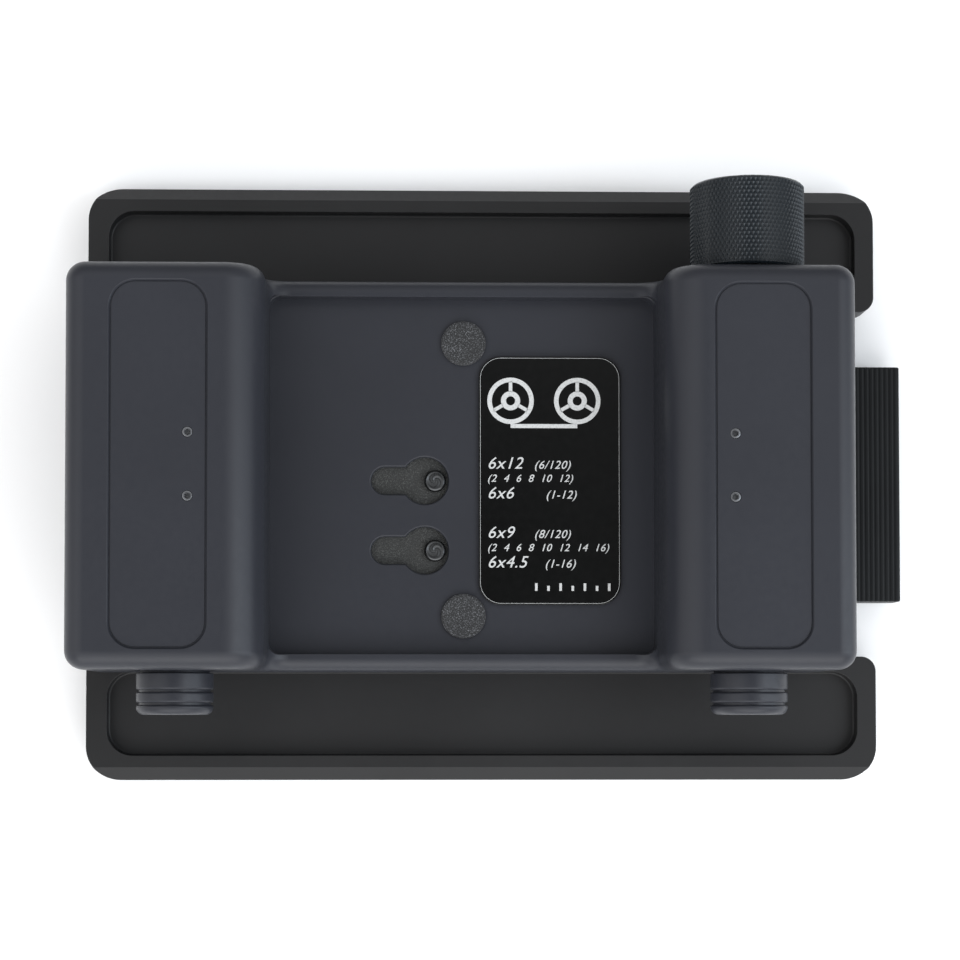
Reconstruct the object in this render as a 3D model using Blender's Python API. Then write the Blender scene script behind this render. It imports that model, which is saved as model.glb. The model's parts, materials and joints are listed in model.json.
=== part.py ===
"""A 120 roll film back on a 4x5 insert plate, lying on its front face with its rear side up.

+X runs along the film, towards the dark slide grip. +Y runs along the spools, towards the winding knob.
Sizes are in millimetres and become metres where a mesh or a place is made.
"""

from math import asin, cos, degrees, pi, radians, sin

import bmesh
import bpy
from mathutils import Matrix, Vector

MM = 0.001
GAP = 0.3

# Insert plate, measured from its own centre
PLATE_LENGTH = 160.0
PLATE_WIDTH = 120.5
PLATE_THICKNESS = 8.0
PLATE_CORNER = 6.8
RIB_HEIGHT = 1.5
RIB_WIDTH = 3.0
RIB_FRAME = (118.0, 93.0)
EDGE_CHAMFER = 2.65
EDGE_FLAT = 2.4
POCKET_X = (-75.8, 76.1)
POCKET_INNER_Y = 38.3
POCKET_DEPTH = 3.0
POCKET_CORNER = 5.2
NOTCH_X = 71.6
NOTCH_HALF = 35.2
NOTCH_CORNER = 3.0

# Dark slide grip
GRIP_X = (NOTCH_X + 0.8, 85.3)
GRIP_HALF = 24.0
GRIP_Z = (RIB_HEIGHT + 0.2, RIB_HEIGHT + PLATE_THICKNESS - 0.5)
TONGUE_HALF = 21.0
TONGUE_DEPTH = 8.2
RIVET_Y = 16.0
RIB_PITCH = 1.0
RIB_DEPTH = 0.35

PLATE_FRONT_Z = RIB_HEIGHT
PLATE_REAR_Z = PLATE_FRONT_Z + PLATE_THICKNESS

# Film path
FILM_CENTRE_X = -5.3
GATE_SIZE = (112.0, 56.0)
FILM_PLANE_Z = PLATE_FRONT_Z + 5.0
SLOT_Z = (PLATE_FRONT_Z + 1.7, PLATE_FRONT_Z + 3.1)
SLOT_HALF = 31.2
SLOT_END_X = -66.5
GATE_FLOOR_Z = PLATE_FRONT_Z + 3.5
GATE_FRAME_X = (-69.0, 58.4)
CHANNEL_HALF = 33.7
TROUGH_FLOOR_Z = PLATE_FRONT_Z + 4.1
TROUGH_REACH = (63.9, 71.6)
TROUGH_HALF = 33.5
SEAL_X = (67.2, 69.3)

# Rear shell
SHELL_X = (-80.0, 69.5)
SHELL_HALF = 38.5
SHELL_BASE_Z = PLATE_REAR_Z + GAP
TOWER_INNER_X = (-42.6, 33.5)
TOWER_TOP_Z = PLATE_REAR_Z + 37.3
BRIDGE_TOP_Z = PLATE_REAR_Z + 16.2
BRIDGE_FLOOR_Z = PLATE_REAR_Z + 12.7
BRIDGE_INNER_Z = BRIDGE_FLOOR_Z - 2.5
BRIDGE_HALF = 35.1
TOWER_OUTER_ROUND = 4.0
TOWER_INNER_ROUND = 8.0
TOWER_FOOT_ROUND = 4.5
TOWER_END_ROUND = 3.6
BRIDGE_END_ROUND = 2.6
CHAMBER_HALF = 33.0
CHAMBER_X = ((-77.3, -45.6), (36.5, 66.8))
CHAMBER_TOP_Z = TOWER_TOP_Z - 2.8
PANEL_X = ((-71.5, -53.1), (42.4, 60.7))
PANEL_HALF = 34.6
PANEL_DEPTH = 0.4

# Spools, pins and knobs
AXIS_X = (-60.3, 50.9)
AXIS_Z = PLATE_REAR_Z + 21.0
SPOOL_HALF = 32.5
SPOOL_FLANGE_R = 12.6
SPOOL_CORE_R = 6.0
SPOOL_BORE_R = 3.4
PIN_NOSE_R = 3.0
PULL_KNOB_R = 7.45
PULL_KNOB_Y = (-37.9, -47.0)
PULL_GROOVE_Y = (-42.4, -44.9)
KNOB_R = 11.1
KNOB_Y = (39.3, 56.3)
SHAFT_R = 3.0

# Guide rollers and pressure plate
ROLLER_OFFSET = 68.2
ROLLER_R = 2.7
ROLLER_Z = FILM_PLANE_Z + 0.2 + ROLLER_R
ROLLER_HALF = 31.2
AXLE_R = 1.0
EAR_Y = (31.7, 33.25)
EAR_HALF_X = 2.2
PRESSURE_Z = (FILM_PLANE_Z + 0.5, FILM_PLANE_Z + 2.1)
PRESSURE_SIZE = (79.4, 61.6)
PRESSURE_CORNER = 3.0
POST_X = -4.3
POST_Y = (-27.6, 26.4)
BOSS_Z = BRIDGE_INNER_Z - 4.2
BOSS_SEAT_Z = BRIDGE_INNER_Z - 0.4

# Frame counter windows
WINDOW_X = -11.9
WINDOW_Y = (-0.8, -14.6)
WINDOW_R = 4.65
WINDOW_SLOT_END = -22.5
WINDOW_SLOT_HALF = 2.7
PEG_X = -9.9
PEG_R = 2.0
SHUTTER_TRAVEL = 9.9
WINDOW_MIDDLE_Y = (WINDOW_Y[0] + WINDOW_Y[1]) / 2
SHUTTER_CHANNEL = (-34.4, 4.0)
SHUTTER_CHANNEL_HALF = 6.3
SHUTTER_CHANNEL_Z = BRIDGE_INNER_Z + 1.5
WINDOW_PLATE_Z = (BRIDGE_INNER_Z - 1.7, BRIDGE_INNER_Z - GAP)

# Trim
LABEL_X = (-1.3, 26.8)
LABEL_Y = (-25.4, 23.8)
LABEL_CORNER = 4.4
GRUB_X = (-56.8, 46.2)
GRUB_Y = 6.0
COVER_SCREW_X = (-76.4, 65.8)
COVER_SCREW_Y = 35.2
GATE_SCREW_Y = 32.3

# The whole object's box is centred on the origin
ORIGIN_X = (GRIP_X[1] - PLATE_LENGTH / 2) / 2

MATERIALS = {
    "black_anodised": ((0.022, 0.022, 0.024, 1), 0.5, 1.0),
    "grey_anodised": ((0.055, 0.058, 0.068, 1), 0.45, 1.0),
    "polished_steel": ((0.6, 0.6, 0.6, 1), 0.2, 1.0),
    "brass": ((0.65, 0.45, 0.2, 1), 0.35, 1.0),
    "black_plastic": ((0.015, 0.015, 0.015, 1), 0.45, 0.0),
    "black_label": ((0.008, 0.008, 0.008, 1), 0.15, 0.0),
    "red_window": ((0.45, 0.01, 0.01, 1), 0.1, 0.0),
    "black_felt": ((0.02, 0.02, 0.02, 1), 0.95, 0.0),
}


# ---------------------------------------------------------------- materials and objects


def material(slot):
    found = bpy.data.materials.get(slot)
    if found:
        return found
    colour, roughness, metallic = MATERIALS[slot]
    made = bpy.data.materials.new(slot)
    made.use_nodes = True
    shader = made.node_tree.nodes["Principled BSDF"]
    shader.inputs["Base Color"].default_value = colour
    shader.inputs["Roughness"].default_value = roughness
    shader.inputs["Metallic"].default_value = metallic
    return made


def add_object(name, bm, pivot, parent):
    """Turns a bmesh in plate millimetres into an object in metres whose origin is at pivot."""
    bmesh.ops.translate(bm, verts=bm.verts, vec=-Vector(pivot))
    bmesh.ops.scale(bm, verts=bm.verts, vec=(MM, MM, MM))
    bmesh.ops.recalc_face_normals(bm, faces=bm.faces)
    mesh = bpy.data.meshes.new(name)
    bm.to_mesh(mesh)
    bm.free()
    made = bpy.data.objects.new(name, mesh)
    made.location = Vector(pivot) * MM
    made.parent = parent
    bpy.context.scene.collection.objects.link(made)
    return made


def add_part(name, bm, slot, pivot=(0, 0, 0)):
    made = add_object(name, bm, pivot, ROOT)
    made.data.materials.append(material(slot))
    made.data.shade_smooth()
    made.data.set_sharp_from_angle(angle=radians(35))
    return made


def boolean(part, bm, operation):
    tool = add_object(f"{part.name}_tool_{len(part.modifiers)}", bm, (0, 0, 0), ROOT)
    tool.hide_render = True
    tool.display_type = "WIRE"
    modifier = part.modifiers.new(f"{operation.lower()}_{len(part.modifiers)}", "BOOLEAN")
    modifier.operation = operation
    modifier.solver = "EXACT"
    modifier.object = tool


def cut(part, *shapes):
    for bm in shapes:
        boolean(part, bm, "DIFFERENCE")


def join(part, *shapes):
    for bm in shapes:
        boolean(part, bm, "UNION")


# ---------------------------------------------------------------- shapes


def arc(centre, radius, start, end, steps):
    """Points on an arc from start to end, in degrees."""
    angles = (radians(start + (end - start) * i / steps) for i in range(steps + 1))
    return [(centre[0] + radius * cos(a), centre[1] + radius * sin(a)) for a in angles]


def rounded_rectangle(x, y, radius, steps=3):
    """Anticlockwise outline between x = (low, high) and y = (low, high)."""
    if radius <= 0:
        return [(x[0], y[0]), (x[1], y[0]), (x[1], y[1]), (x[0], y[1])]
    corners = ((x[1], y[0], -90), (x[1], y[1], 0), (x[0], y[1], 90), (x[0], y[0], 180))
    outline = []
    for cx, cy, start in corners:
        inward_x, inward_y = (-radius if cx == x[1] else radius), (-radius if cy == y[1] else radius)
        centre = (cx + inward_x, cy + inward_y)
        outline += arc(centre, radius, start, start + 90, steps)
    return outline


def loft(loops):
    """A closed solid through loops that have the same number of points, with both ends filled."""
    bm = bmesh.new()
    rings = [[bm.verts.new(point) for point in loop] for loop in loops]
    for low, high in zip(rings, rings[1:]):
        for i in range(len(low)):
            j = (i + 1) % len(low)
            bm.faces.new((low[i], low[j], high[j], high[i]))
    bm.faces.new(reversed(rings[0]))
    bm.faces.new(rings[-1])
    return bm


def prism(outline, z):
    return loft([[(px, py, level) for px, py in outline] for level in z])


def box(x, y, z):
    return prism(rounded_rectangle(x, y, 0), z)


def turned(profile, centre, axis="Y", steps=16, bored=False):
    """A solid of revolution from (distance along the axis, radius) pairs.

    A radius of 0 closes an end. A bored profile runs back to its own start and leaves the axis open.
    """
    bm = bmesh.new()
    rings = []
    for along, radius in profile:
        if radius == 0:
            rings.append([bm.verts.new((0, 0, along))])
        else:
            turn = [2 * pi * (i + 0.5) / steps for i in range(steps)]
            rings.append([bm.verts.new((radius * cos(a), radius * sin(a), along)) for a in turn])
    pairs = list(zip(rings, rings[1:]))
    if bored:
        pairs.append((rings[-1], rings[0]))
    for low, high in pairs:
        for i in range(steps):
            j = (i + 1) % steps
            corners = [low[i % len(low)], low[j % len(low)], high[j % len(high)], high[i % len(high)]]
            bm.faces.new(dict.fromkeys(corners))
    for ring in (rings[0], rings[-1]):
        if len(ring) > 1 and not bored:
            bm.faces.new(ring)
    if axis == "Y":
        bm.transform(Matrix.Rotation(-pi / 2, 4, "X"))
    bmesh.ops.translate(bm, verts=bm.verts, vec=Vector(centre))
    return bm


def rod(along, radius, centre, axis="Y", steps=16):
    return turned([(along[0], radius), (along[1], radius)], centre, axis, steps)


def tube(along, outer, inner, centre, axis="Y", steps=16):
    """A sleeve with an open bore."""
    section = [(along[0], inner), (along[0], outer), (along[1], outer), (along[1], inner)]
    return turned(section, centre, axis, steps, bored=True)


def coil(along, radius, wire_r, turns, centre, axis="Y", steps=8, sides=4):
    """A round wire wound on a helix between two places on its axis."""
    length = along[1] - along[0] - 2 * wire_r
    loops = []
    count = round(turns * steps)
    for i in range(count + 1):
        turn = 2 * pi * i / steps
        out = Vector((cos(turn), sin(turn), 0))
        middle = out * radius + Vector((0, 0, along[0] + wire_r + length * i / count))
        ring = (2 * pi * k / sides for k in range(sides))
        loops.append([middle + wire_r * (cos(a) * out + sin(a) * Vector((0, 0, 1))) for a in ring])
    bm = loft(loops)
    if axis == "Y":
        bm.transform(Matrix.Rotation(-pi / 2, 4, "X"))
    bmesh.ops.translate(bm, verts=bm.verts, vec=Vector(centre))
    return bm


def coin_slot(x, y, z, width=0.9, half_length=3.0):
    return box((x - half_length, x + half_length), (y - width / 2, y + width / 2), z)


def mirrored(x):
    """The same place on the other side of the film's centre line."""
    return 2 * FILM_CENTRE_X - x


# ---------------------------------------------------------------- insert plate


def plate_outline(steps=4):
    """Plan of the insert plate: rounded corners, and a notch in the right edge with convex corners."""
    half_x, half_y, r, n = PLATE_LENGTH / 2, PLATE_WIDTH / 2, PLATE_CORNER, NOTCH_CORNER
    lower_notch = [
        *arc((half_x - n, -NOTCH_HALF - n), n, 0, 90, steps),
        (NOTCH_X, -NOTCH_HALF),
        (NOTCH_X, NOTCH_HALF),
        *arc((half_x - n, NOTCH_HALF + n), n, -90, 0, steps),
    ]
    return (
        arc((-half_x + r, -half_y + r), r, 180, 270, steps)
        + arc((half_x - r, -half_y + r), r, 270, 360, steps)
        + lower_notch
        + arc((half_x - r, half_y - r), r, 0, 90, steps)
        + arc((-half_x + r, half_y - r), r, 90, 180, steps)
    )


def edge_chamfer(side):
    """Wedge that takes the 45 degree chamfer off one long rear edge."""
    edge = side * PLATE_WIDTH / 2
    top = PLATE_REAR_Z
    reach = EDGE_CHAMFER
    section = [
        (edge - side * reach, top),
        (edge + side * reach, top - 2 * reach),
        (edge + side * reach, top + reach),
        (edge - side * reach, top + reach),
    ]
    return loft([[(x, y, z) for y, z in section] for x in (-PLATE_LENGTH, PLATE_LENGTH)])


def gate_outline(grow=0.0):
    half_x, half_y = GATE_SIZE[0] / 2 + grow, GATE_SIZE[1] / 2 + grow
    return (FILM_CENTRE_X - half_x, FILM_CENTRE_X + half_x), (-half_y, half_y)


def build_front_plate():
    plate = add_part("front_plate", prism(plate_outline(), (PLATE_FRONT_Z, PLATE_REAR_Z)), "black_anodised")
    rib_half = [size / 2 for size in RIB_FRAME]
    rib_x = (FILM_CENTRE_X - rib_half[0], FILM_CENTRE_X + rib_half[0])
    join(plate, prism(rounded_rectangle(rib_x, (-rib_half[1], rib_half[1]), 4.0), (0, PLATE_FRONT_Z + 1)))
    inside_x = (rib_x[0] + RIB_WIDTH, rib_x[1] - RIB_WIDTH)
    inside_half = rib_half[1] - RIB_WIDTH
    inside = rounded_rectangle(inside_x, (-inside_half, inside_half), 2.0)
    cut(plate, prism(inside, (-1, PLATE_FRONT_Z)))

    outer_y = PLATE_WIDTH / 2 - EDGE_CHAMFER - EDGE_FLAT
    for side in (-1, 1):
        span = sorted((side * POCKET_INNER_Y, side * outer_y))
        pocket = rounded_rectangle(POCKET_X, span, POCKET_CORNER)
        cut(plate, edge_chamfer(side), prism(pocket, (PLATE_REAR_Z - POCKET_DEPTH, PLATE_REAR_Z + 1)))

    above = PLATE_REAR_Z + 1
    channel_x = (GATE_FRAME_X[0] - GAP, GATE_FRAME_X[1] + GAP)
    cut(plate, box(channel_x, (-CHANNEL_HALF, CHANNEL_HALF), (GATE_FLOOR_Z, above)))
    for side in (-1, 1):
        trough_x = sorted(FILM_CENTRE_X + side * reach for reach in TROUGH_REACH)
        cut(plate, box(trough_x, (-TROUGH_HALF, TROUGH_HALF), (TROUGH_FLOOR_Z, above)))
    cut(plate, box(*gate_outline(), (-1, above)))
    cut(plate, box((SLOT_END_X, NOTCH_X + 1), (-SLOT_HALF, SLOT_HALF), SLOT_Z))
    open_x = (SLOT_END_X, GATE_FRAME_X[1])
    cut(plate, box(open_x, (-SLOT_HALF, SLOT_HALF), (SLOT_Z[0], GATE_FLOOR_Z + 0.1)))
    cut(plate, box(SEAL_X, (-SLOT_HALF, SLOT_HALF), (SLOT_Z[1] - 0.1, above)))

    cut(plate, gasket_ring(0.05))
    seat_z = PLATE_FRONT_Z + 2
    screw_hole = [(PLATE_FRONT_Z - 1, 2.9), (seat_z, 2.9), (seat_z, 1.5), (above, 1.5)]
    for x, y in cover_screw_places():
        cut(plate, turned(screw_hole, (x, y, 0), "Z"))
    for x, y in gate_screw_places():
        cut(plate, rod((GATE_FLOOR_Z - 2.0, GATE_FLOOR_Z + 1), 0.9, (x, y, 0), "Z", 8))


def gasket_ring(grow):
    """Rectangular cord just inside the shell's outer edge, drawn as a ring prism."""
    outer = rounded_rectangle((-79.2 - grow, 68.9 + grow), (-37.9 - grow, 37.9 + grow), 2.2 + grow, 3)
    inner = rounded_rectangle((-78.3 + grow, 68.0 - grow), (-37.0 + grow, 37.0 - grow), 1.3 - grow, 3)
    top = PLATE_REAR_Z + (1 if grow else 0.1)
    levels = (PLATE_REAR_Z - 0.8 + (0 if grow else 0.1), top)
    bm = bmesh.new()
    rings = [[bm.verts.new((x, y, z)) for x, y in outline] for outline in (outer, inner) for z in levels]
    outer_low, outer_high, inner_low, inner_high = rings
    count = len(outer)
    for i in range(count):
        j = (i + 1) % count
        bm.faces.new((outer_low[i], outer_low[j], outer_high[j], outer_high[i]))
        bm.faces.new((outer_high[i], outer_high[j], inner_high[j], inner_high[i]))
        bm.faces.new((inner_high[i], inner_high[j], inner_low[j], inner_low[i]))
        bm.faces.new((inner_low[i], inner_low[j], outer_low[j], outer_low[i]))
    return bm


def build_film_gate():
    """Frame insert whose polished rails carry the film just outside the aperture."""
    base_z = (GATE_FLOOR_Z + GAP, FILM_PLANE_Z - 0.3)
    half = CHANNEL_HALF - GAP
    gate = add_part("film_gate", box(GATE_FRAME_X, (-half, half), base_z), "polished_steel")
    for side in (-1, 1):
        rail = sorted((side * 28.7, side * 30.4))
        guide = sorted((side * 31.1, side * 31.6))
        join(gate, box(GATE_FRAME_X, rail, (base_z[0] + 0.2, FILM_PLANE_Z)))
        join(gate, box(GATE_FRAME_X, guide, (base_z[0] + 0.2, FILM_PLANE_Z + 0.5)))
    cut(gate, box(*gate_outline(), (0, PLATE_REAR_Z)))
    for i, (x, y) in enumerate(gate_screw_places(), 1):
        cut(gate, turned([(0, 1.0), (base_z[1] - 0.6, 1.0), (base_z[1] + 1, 2.0)], (x, y, 0), "Z", 8))
        shape = [(GATE_FLOOR_Z - 1.6, 0.6), (base_z[1] - 0.6, 0.6), (base_z[1], 1.0)]
        add_part(f"film_gate_screw_{i}", turned(shape, (x, y, 0), "Z", 8), "polished_steel")


def gate_screw_places():
    return [(x, y) for x in (-55.0, mirrored(-55.0)) for y in (-GATE_SCREW_Y, GATE_SCREW_Y)]


def cover_screw_places():
    return [(x, y) for x in COVER_SCREW_X for y in (-COVER_SCREW_Y, COVER_SCREW_Y)]


def build_cover_screws():
    """Captive screws, sunk below the plate's front face, that pull the shell down onto the plate."""
    head = PLATE_FRONT_Z + 0.3
    for i, (x, y) in enumerate(cover_screw_places(), 1):
        shape = [(head, 2.5), (head + 1.4, 2.5), (head + 1.4, 1.2), (SHELL_BASE_Z + 5, 1.2)]
        screw = add_part(f"cover_screw_{i}", turned(shape, (x, y, 0), "Z"), "polished_steel", (x, y, head))
        cut(screw, coin_slot(x, y, (head - 1, head + 0.7)))


def build_seals():
    low = SLOT_Z[1] - 0.05
    seal_x = (SEAL_X[0] + 0.2, SEAL_X[1] - 0.2)
    seal_y = (-SLOT_HALF + 0.2, SLOT_HALF - 0.2)
    add_part("slide_light_seal", box(seal_x, seal_y, (low, low + 1.4)), "black_felt")
    add_part("light_seal_bar", box(seal_x, seal_y, (low + 1.6, PLATE_REAR_Z - 1.0)), "polished_steel")
    add_part("cover_gasket", gasket_ring(0), "black_felt")


# ---------------------------------------------------------------- dark slide


def build_dark_slide():
    """Sheet with a narrow tongue, on which the grip is riveted. The grip's top has ribs along Y."""
    sheet_z = (SLOT_Z[0] + GAP, SLOT_Z[1] - 0.4)
    sheet_x = (SLOT_END_X + 2, NOTCH_X - 2.6)
    half = SLOT_HALF - 0.5
    blank = prism(rounded_rectangle(sheet_x, (-half, half), 3.0), sheet_z)
    slide = add_part("dark_slide", blank, "polished_steel")
    tongue_x = (sheet_x[1] - 5, GRIP_X[0] + TONGUE_DEPTH)
    join(slide, box(tongue_x, (-TONGUE_HALF, TONGUE_HALF), sheet_z))

    top, foot = GRIP_Z[1], GRIP_Z[0]
    section = [(GRIP_X[0], foot), (GRIP_X[1] - 0.6, foot), (GRIP_X[1], foot + 0.6), (GRIP_X[1], top - 0.6)]
    ribs = int((GRIP_X[1] - GRIP_X[0] - 1) / RIB_PITCH)
    for i in range(ribs):
        x = GRIP_X[1] - 0.6 - i * RIB_PITCH
        valley = top - RIB_DEPTH
        section += [(x, top), (x - 0.5, top), (x - 0.6, valley), (x - 0.9, valley)]
    section.append((GRIP_X[0], top))
    bar = loft([[(x, y, z) for x, z in section] for y in (-GRIP_HALF, GRIP_HALF)])
    grip = add_part("dark_slide_grip", bar, "black_plastic")
    mouth = (GRIP_X[0] - 1, tongue_x[1] + GAP)
    cut(grip, box(mouth, (-TONGUE_HALF - GAP, TONGUE_HALF + GAP), (sheet_z[0] - GAP, sheet_z[1] + GAP)))
    for i, y in enumerate((-RIVET_Y, RIVET_Y), 1):
        place = (GRIP_X[0] + TONGUE_DEPTH / 2, y, 0)
        cut(grip, rod((-1, top - 2.0), 1.5, place, "Z", 8))
        cut(slide, rod((-1, top), 1.5, place, "Z", 8))
        rivet = rod((foot, top - 2.5), 1.1, place, "Z", 8)
        add_part(f"grip_rivet_{i}", rivet, "polished_steel")


# ---------------------------------------------------------------- rear shell


def shell_profile():
    """The shell's section, left foot to right foot, as (x, z, normal x, normal z, end rounding)."""
    points = []

    def corner(x, z, radius, start, end, rounding, concave=False, steps=4):
        for i in range(steps + 1):
            a = radians(start + (end - start) * i / steps)
            out = -1 if concave else 1
            blend = rounding[0] + (rounding[1] - rounding[0]) * i / steps
            points.append((x + radius * cos(a), z + radius * sin(a), out * cos(a), out * sin(a), blend))

    tower, bridge = TOWER_END_ROUND, BRIDGE_END_ROUND
    middle = (tower + bridge) / 2
    ro, ri, rf = TOWER_OUTER_ROUND, TOWER_INNER_ROUND, TOWER_FOOT_ROUND
    left, right = SHELL_X
    inner_left, inner_right = TOWER_INNER_X
    points.append((left, SHELL_BASE_Z, -1, 0, tower))
    corner(left + ro, TOWER_TOP_Z - ro, ro, 180, 90, (tower, tower))
    corner(inner_left - ri, TOWER_TOP_Z - ri, ri, 90, 0, (tower, middle))
    corner(inner_left + rf, BRIDGE_TOP_Z + rf, rf, 180, 270, (middle, bridge), True)
    corner(inner_right - rf, BRIDGE_TOP_Z + rf, rf, 270, 360, (bridge, middle), True)
    corner(inner_right + ri, TOWER_TOP_Z - ri, ri, 180, 90, (middle, tower))
    corner(right - ro, TOWER_TOP_Z - ro, ro, 90, 0, (tower, tower))
    points.append((right, SHELL_BASE_Z, 1, 0, tower))
    return points


def shell_skin(steps=3):
    """The section drawn out along Y, with its outer edges rolled over at both ends."""
    loops = []
    for side in (-1, 1):
        turns = range(steps + 1) if side < 0 else range(steps, -1, -1)
        for i in turns:
            a = radians(90 * i / steps)
            loop = []
            for x, z, nx, nz, r in shell_profile():
                inset = r * (1 - sin(a))
                level = z if z == SHELL_BASE_Z else z - nz * inset
                loop.append((x - nx * inset, side * (SHELL_HALF - r * (1 - cos(a))), level))
            loops.append(loop)
    return loft(loops)


def keyhole(y, steps=5):
    """Plan of one window: a round hole with a round-ended slot running left from it."""
    mouth = degrees(asin(WINDOW_SLOT_HALF / WINDOW_R))
    hole = arc((WINDOW_X, y), WINDOW_R, mouth - 180, 180 - mouth, 2 * steps)
    return hole + arc((WINDOW_SLOT_END + WINDOW_SLOT_HALF, y), WINDOW_SLOT_HALF, 90, 270, steps)


def chamber(x):
    """Hollow of one tower, open at the front, with its two top corners cut off."""
    below, top, corner = SHELL_BASE_Z - 1, CHAMBER_TOP_Z, 3.0
    section = [
        (x[0], below),
        (x[1], below),
        (x[1], top - corner),
        (x[1] - corner, top),
        (x[0] + corner, top),
        (x[0], top - corner),
    ]
    return loft([[(px, y, pz) for px, pz in section] for y in (-CHAMBER_HALF, CHAMBER_HALF)])


def build_shell():
    shell = add_part("rear_shell", shell_skin(), "grey_anodised")
    below = SHELL_BASE_Z - 1
    bridge_x = (CHAMBER_X[0][1] - 1, CHAMBER_X[1][0] + 1)
    cut(shell, *(chamber(x) for x in CHAMBER_X))
    cut(shell, box(bridge_x, (-CHAMBER_HALF, CHAMBER_HALF), (below, BRIDGE_INNER_Z)))
    recess_x = (TOWER_INNER_X[0] + 0.05, TOWER_INNER_X[1] - 0.05)
    recess = rounded_rectangle(recess_x, (-BRIDGE_HALF, BRIDGE_HALF), 2.2, 3)
    cut(shell, prism(recess, (BRIDGE_FLOOR_Z, BRIDGE_TOP_Z + TOWER_FOOT_ROUND + 0.1)))
    for x in PANEL_X:
        panel = rounded_rectangle(x, (-PANEL_HALF, PANEL_HALF), 5.0)
        cut(shell, prism(panel, (TOWER_TOP_Z - PANEL_DEPTH, TOWER_TOP_Z + 1)))
    bore_shell_ends(shell)
    add_roller_ears(shell)
    bore_shell_bridge(shell)
    for x, y in cover_screw_places():
        cut(shell, rod((below, SHELL_BASE_Z + 5.5), 1.5, (x, y, 0), "Z"))
    for x in GRUB_X:
        for y in (-GRUB_Y, GRUB_Y):
            cut(shell, rod((CHAMBER_TOP_Z - 1, TOWER_TOP_Z + 1), 1.2, (x, y, 0), "Z", 8))


def bore_shell_ends(shell):
    """Holes along Y in the two end walls: winding shaft, pin bushes and supply pivot."""
    supply, takeup = ((x, 0, AXIS_Z) for x in AXIS_X)
    cut(shell, rod((CHAMBER_HALF - 1, SHELL_HALF + 1), 5.3, takeup))
    cut(shell, rod((CHAMBER_HALF - 1, CHAMBER_HALF + 4), 2.6, supply))
    for axis in (supply, takeup):
        seat = [(-SHELL_HALF - 1, 8.4), (-SHELL_HALF + 1, 8.4)]
        seat += [(-SHELL_HALF + 1, 5.3), (-CHAMBER_HALF + 1, 5.3)]
        cut(shell, turned(seat, axis))


def add_roller_ears(shell):
    """Lugs that reach down from the end walls into the plate's troughs and hold the roller axles."""
    for x in roller_places():
        for side in (-1, 1):
            ear_y = sorted(side * y for y in EAR_Y)
            ear_x = (x - EAR_HALF_X, x + EAR_HALF_X)
            join(shell, box(ear_x, ear_y, (ROLLER_Z - 2.0, ROLLER_Z + 3.5)))
            hole = sorted((side * (EAR_Y[0] - 1), side * (EAR_Y[1] - GAP)))
            cut(shell, rod(hole, AXLE_R + GAP, (x, 0, ROLLER_Z), steps=10))


def bore_shell_bridge(shell):
    """Keyhole windows with their shutter channels, and bosses for the two pressure plate posts."""
    low, high = BRIDGE_INNER_Z, BRIDGE_FLOOR_Z
    for y in WINDOW_Y:
        channel_y = (y - SHUTTER_CHANNEL_HALF, y + SHUTTER_CHANNEL_HALF)
        cut(shell, box(SHUTTER_CHANNEL, channel_y, (low - 1, SHUTTER_CHANNEL_Z)))
        cut(shell, prism(keyhole(y), (SHUTTER_CHANNEL_Z - 0.1, high + 1)))
    for y in POST_Y:
        place = (POST_X, y, 0)
        join(shell, rod((BOSS_Z, low + 0.5), 5.0, place, "Z"))
        seat = [(BOSS_Z - 1, 1.9), (BOSS_SEAT_Z, 1.9), (BOSS_SEAT_Z, 3.2), (high + 1, 3.2)]
        cut(shell, turned(seat, place, "Z"))
    for x in window_screw_places():
        cut(shell, rod((low - 1, low + 1.7), 0.9, (x, WINDOW_MIDDLE_Y, 0), "Z", 8))


def build_trim():
    label = rounded_rectangle(LABEL_X, LABEL_Y, LABEL_CORNER)
    add_part("label_plate", prism(label, (BRIDGE_FLOOR_Z + 0.2, BRIDGE_FLOOR_Z + 0.9)), "black_label")
    for name, y in zip(("lower", "upper"), POST_Y):
        disc = rod((BRIDGE_FLOOR_Z + GAP, BRIDGE_FLOOR_Z + 0.9), 4.4, (POST_X, y, 0), "Z", 24)
        add_part(f"screw_cover_{name}", disc, "black_felt")
    top = TOWER_TOP_Z - PANEL_DEPTH - 0.1
    for side, x in zip(("left", "right"), GRUB_X):
        for end, y in (("lower", -GRUB_Y), ("upper", GRUB_Y)):
            screw = rod((top - 2.9, top), 0.9, (x, y, 0), "Z")
            grub = add_part(f"grub_screw_{side}_{end}", screw, "polished_steel")
            cut(grub, rod((top - 0.9, top + 1), 0.55, (x, y, 0), "Z", 6))


def build_roll_springs():
    """Leaf springs under the towers' tops that keep the film rolls tight."""
    top = CHAMBER_TOP_Z - 0.55
    run = [(-62.5, top), (-54.0, top), (-50.4, top - 1.0)]
    run += [(-48.2, top - 3.6), (-47.6, top - 6.2), (-48.6, top - 8.2)]
    for side, at in (("left", lambda x: x), ("right", mirrored)):
        outer = [(at(x), z + 0.3) for x, z in run[:2]] + [(at(x + 0.28), z + 0.1) for x, z in run[2:]]
        section = [(at(x), z) for x, z in run] + outer[::-1]
        leaf = loft([[(x, y, z) for x, z in section] for y in (-15, 15)])
        spring = add_part(f"roll_spring_{side}", leaf, "polished_steel")
        for y in (-GRUB_Y, GRUB_Y):
            cut(spring, rod((top - 1, top + 1), 1.3, (at(GRUB_X[0]), y, 0), "Z", 8))


# ---------------------------------------------------------------- frame counter windows


def window_screw_places():
    return (SHUTTER_CHANNEL[0] - 1.8, SHUTTER_CHANNEL[1] + 2.0)


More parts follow.
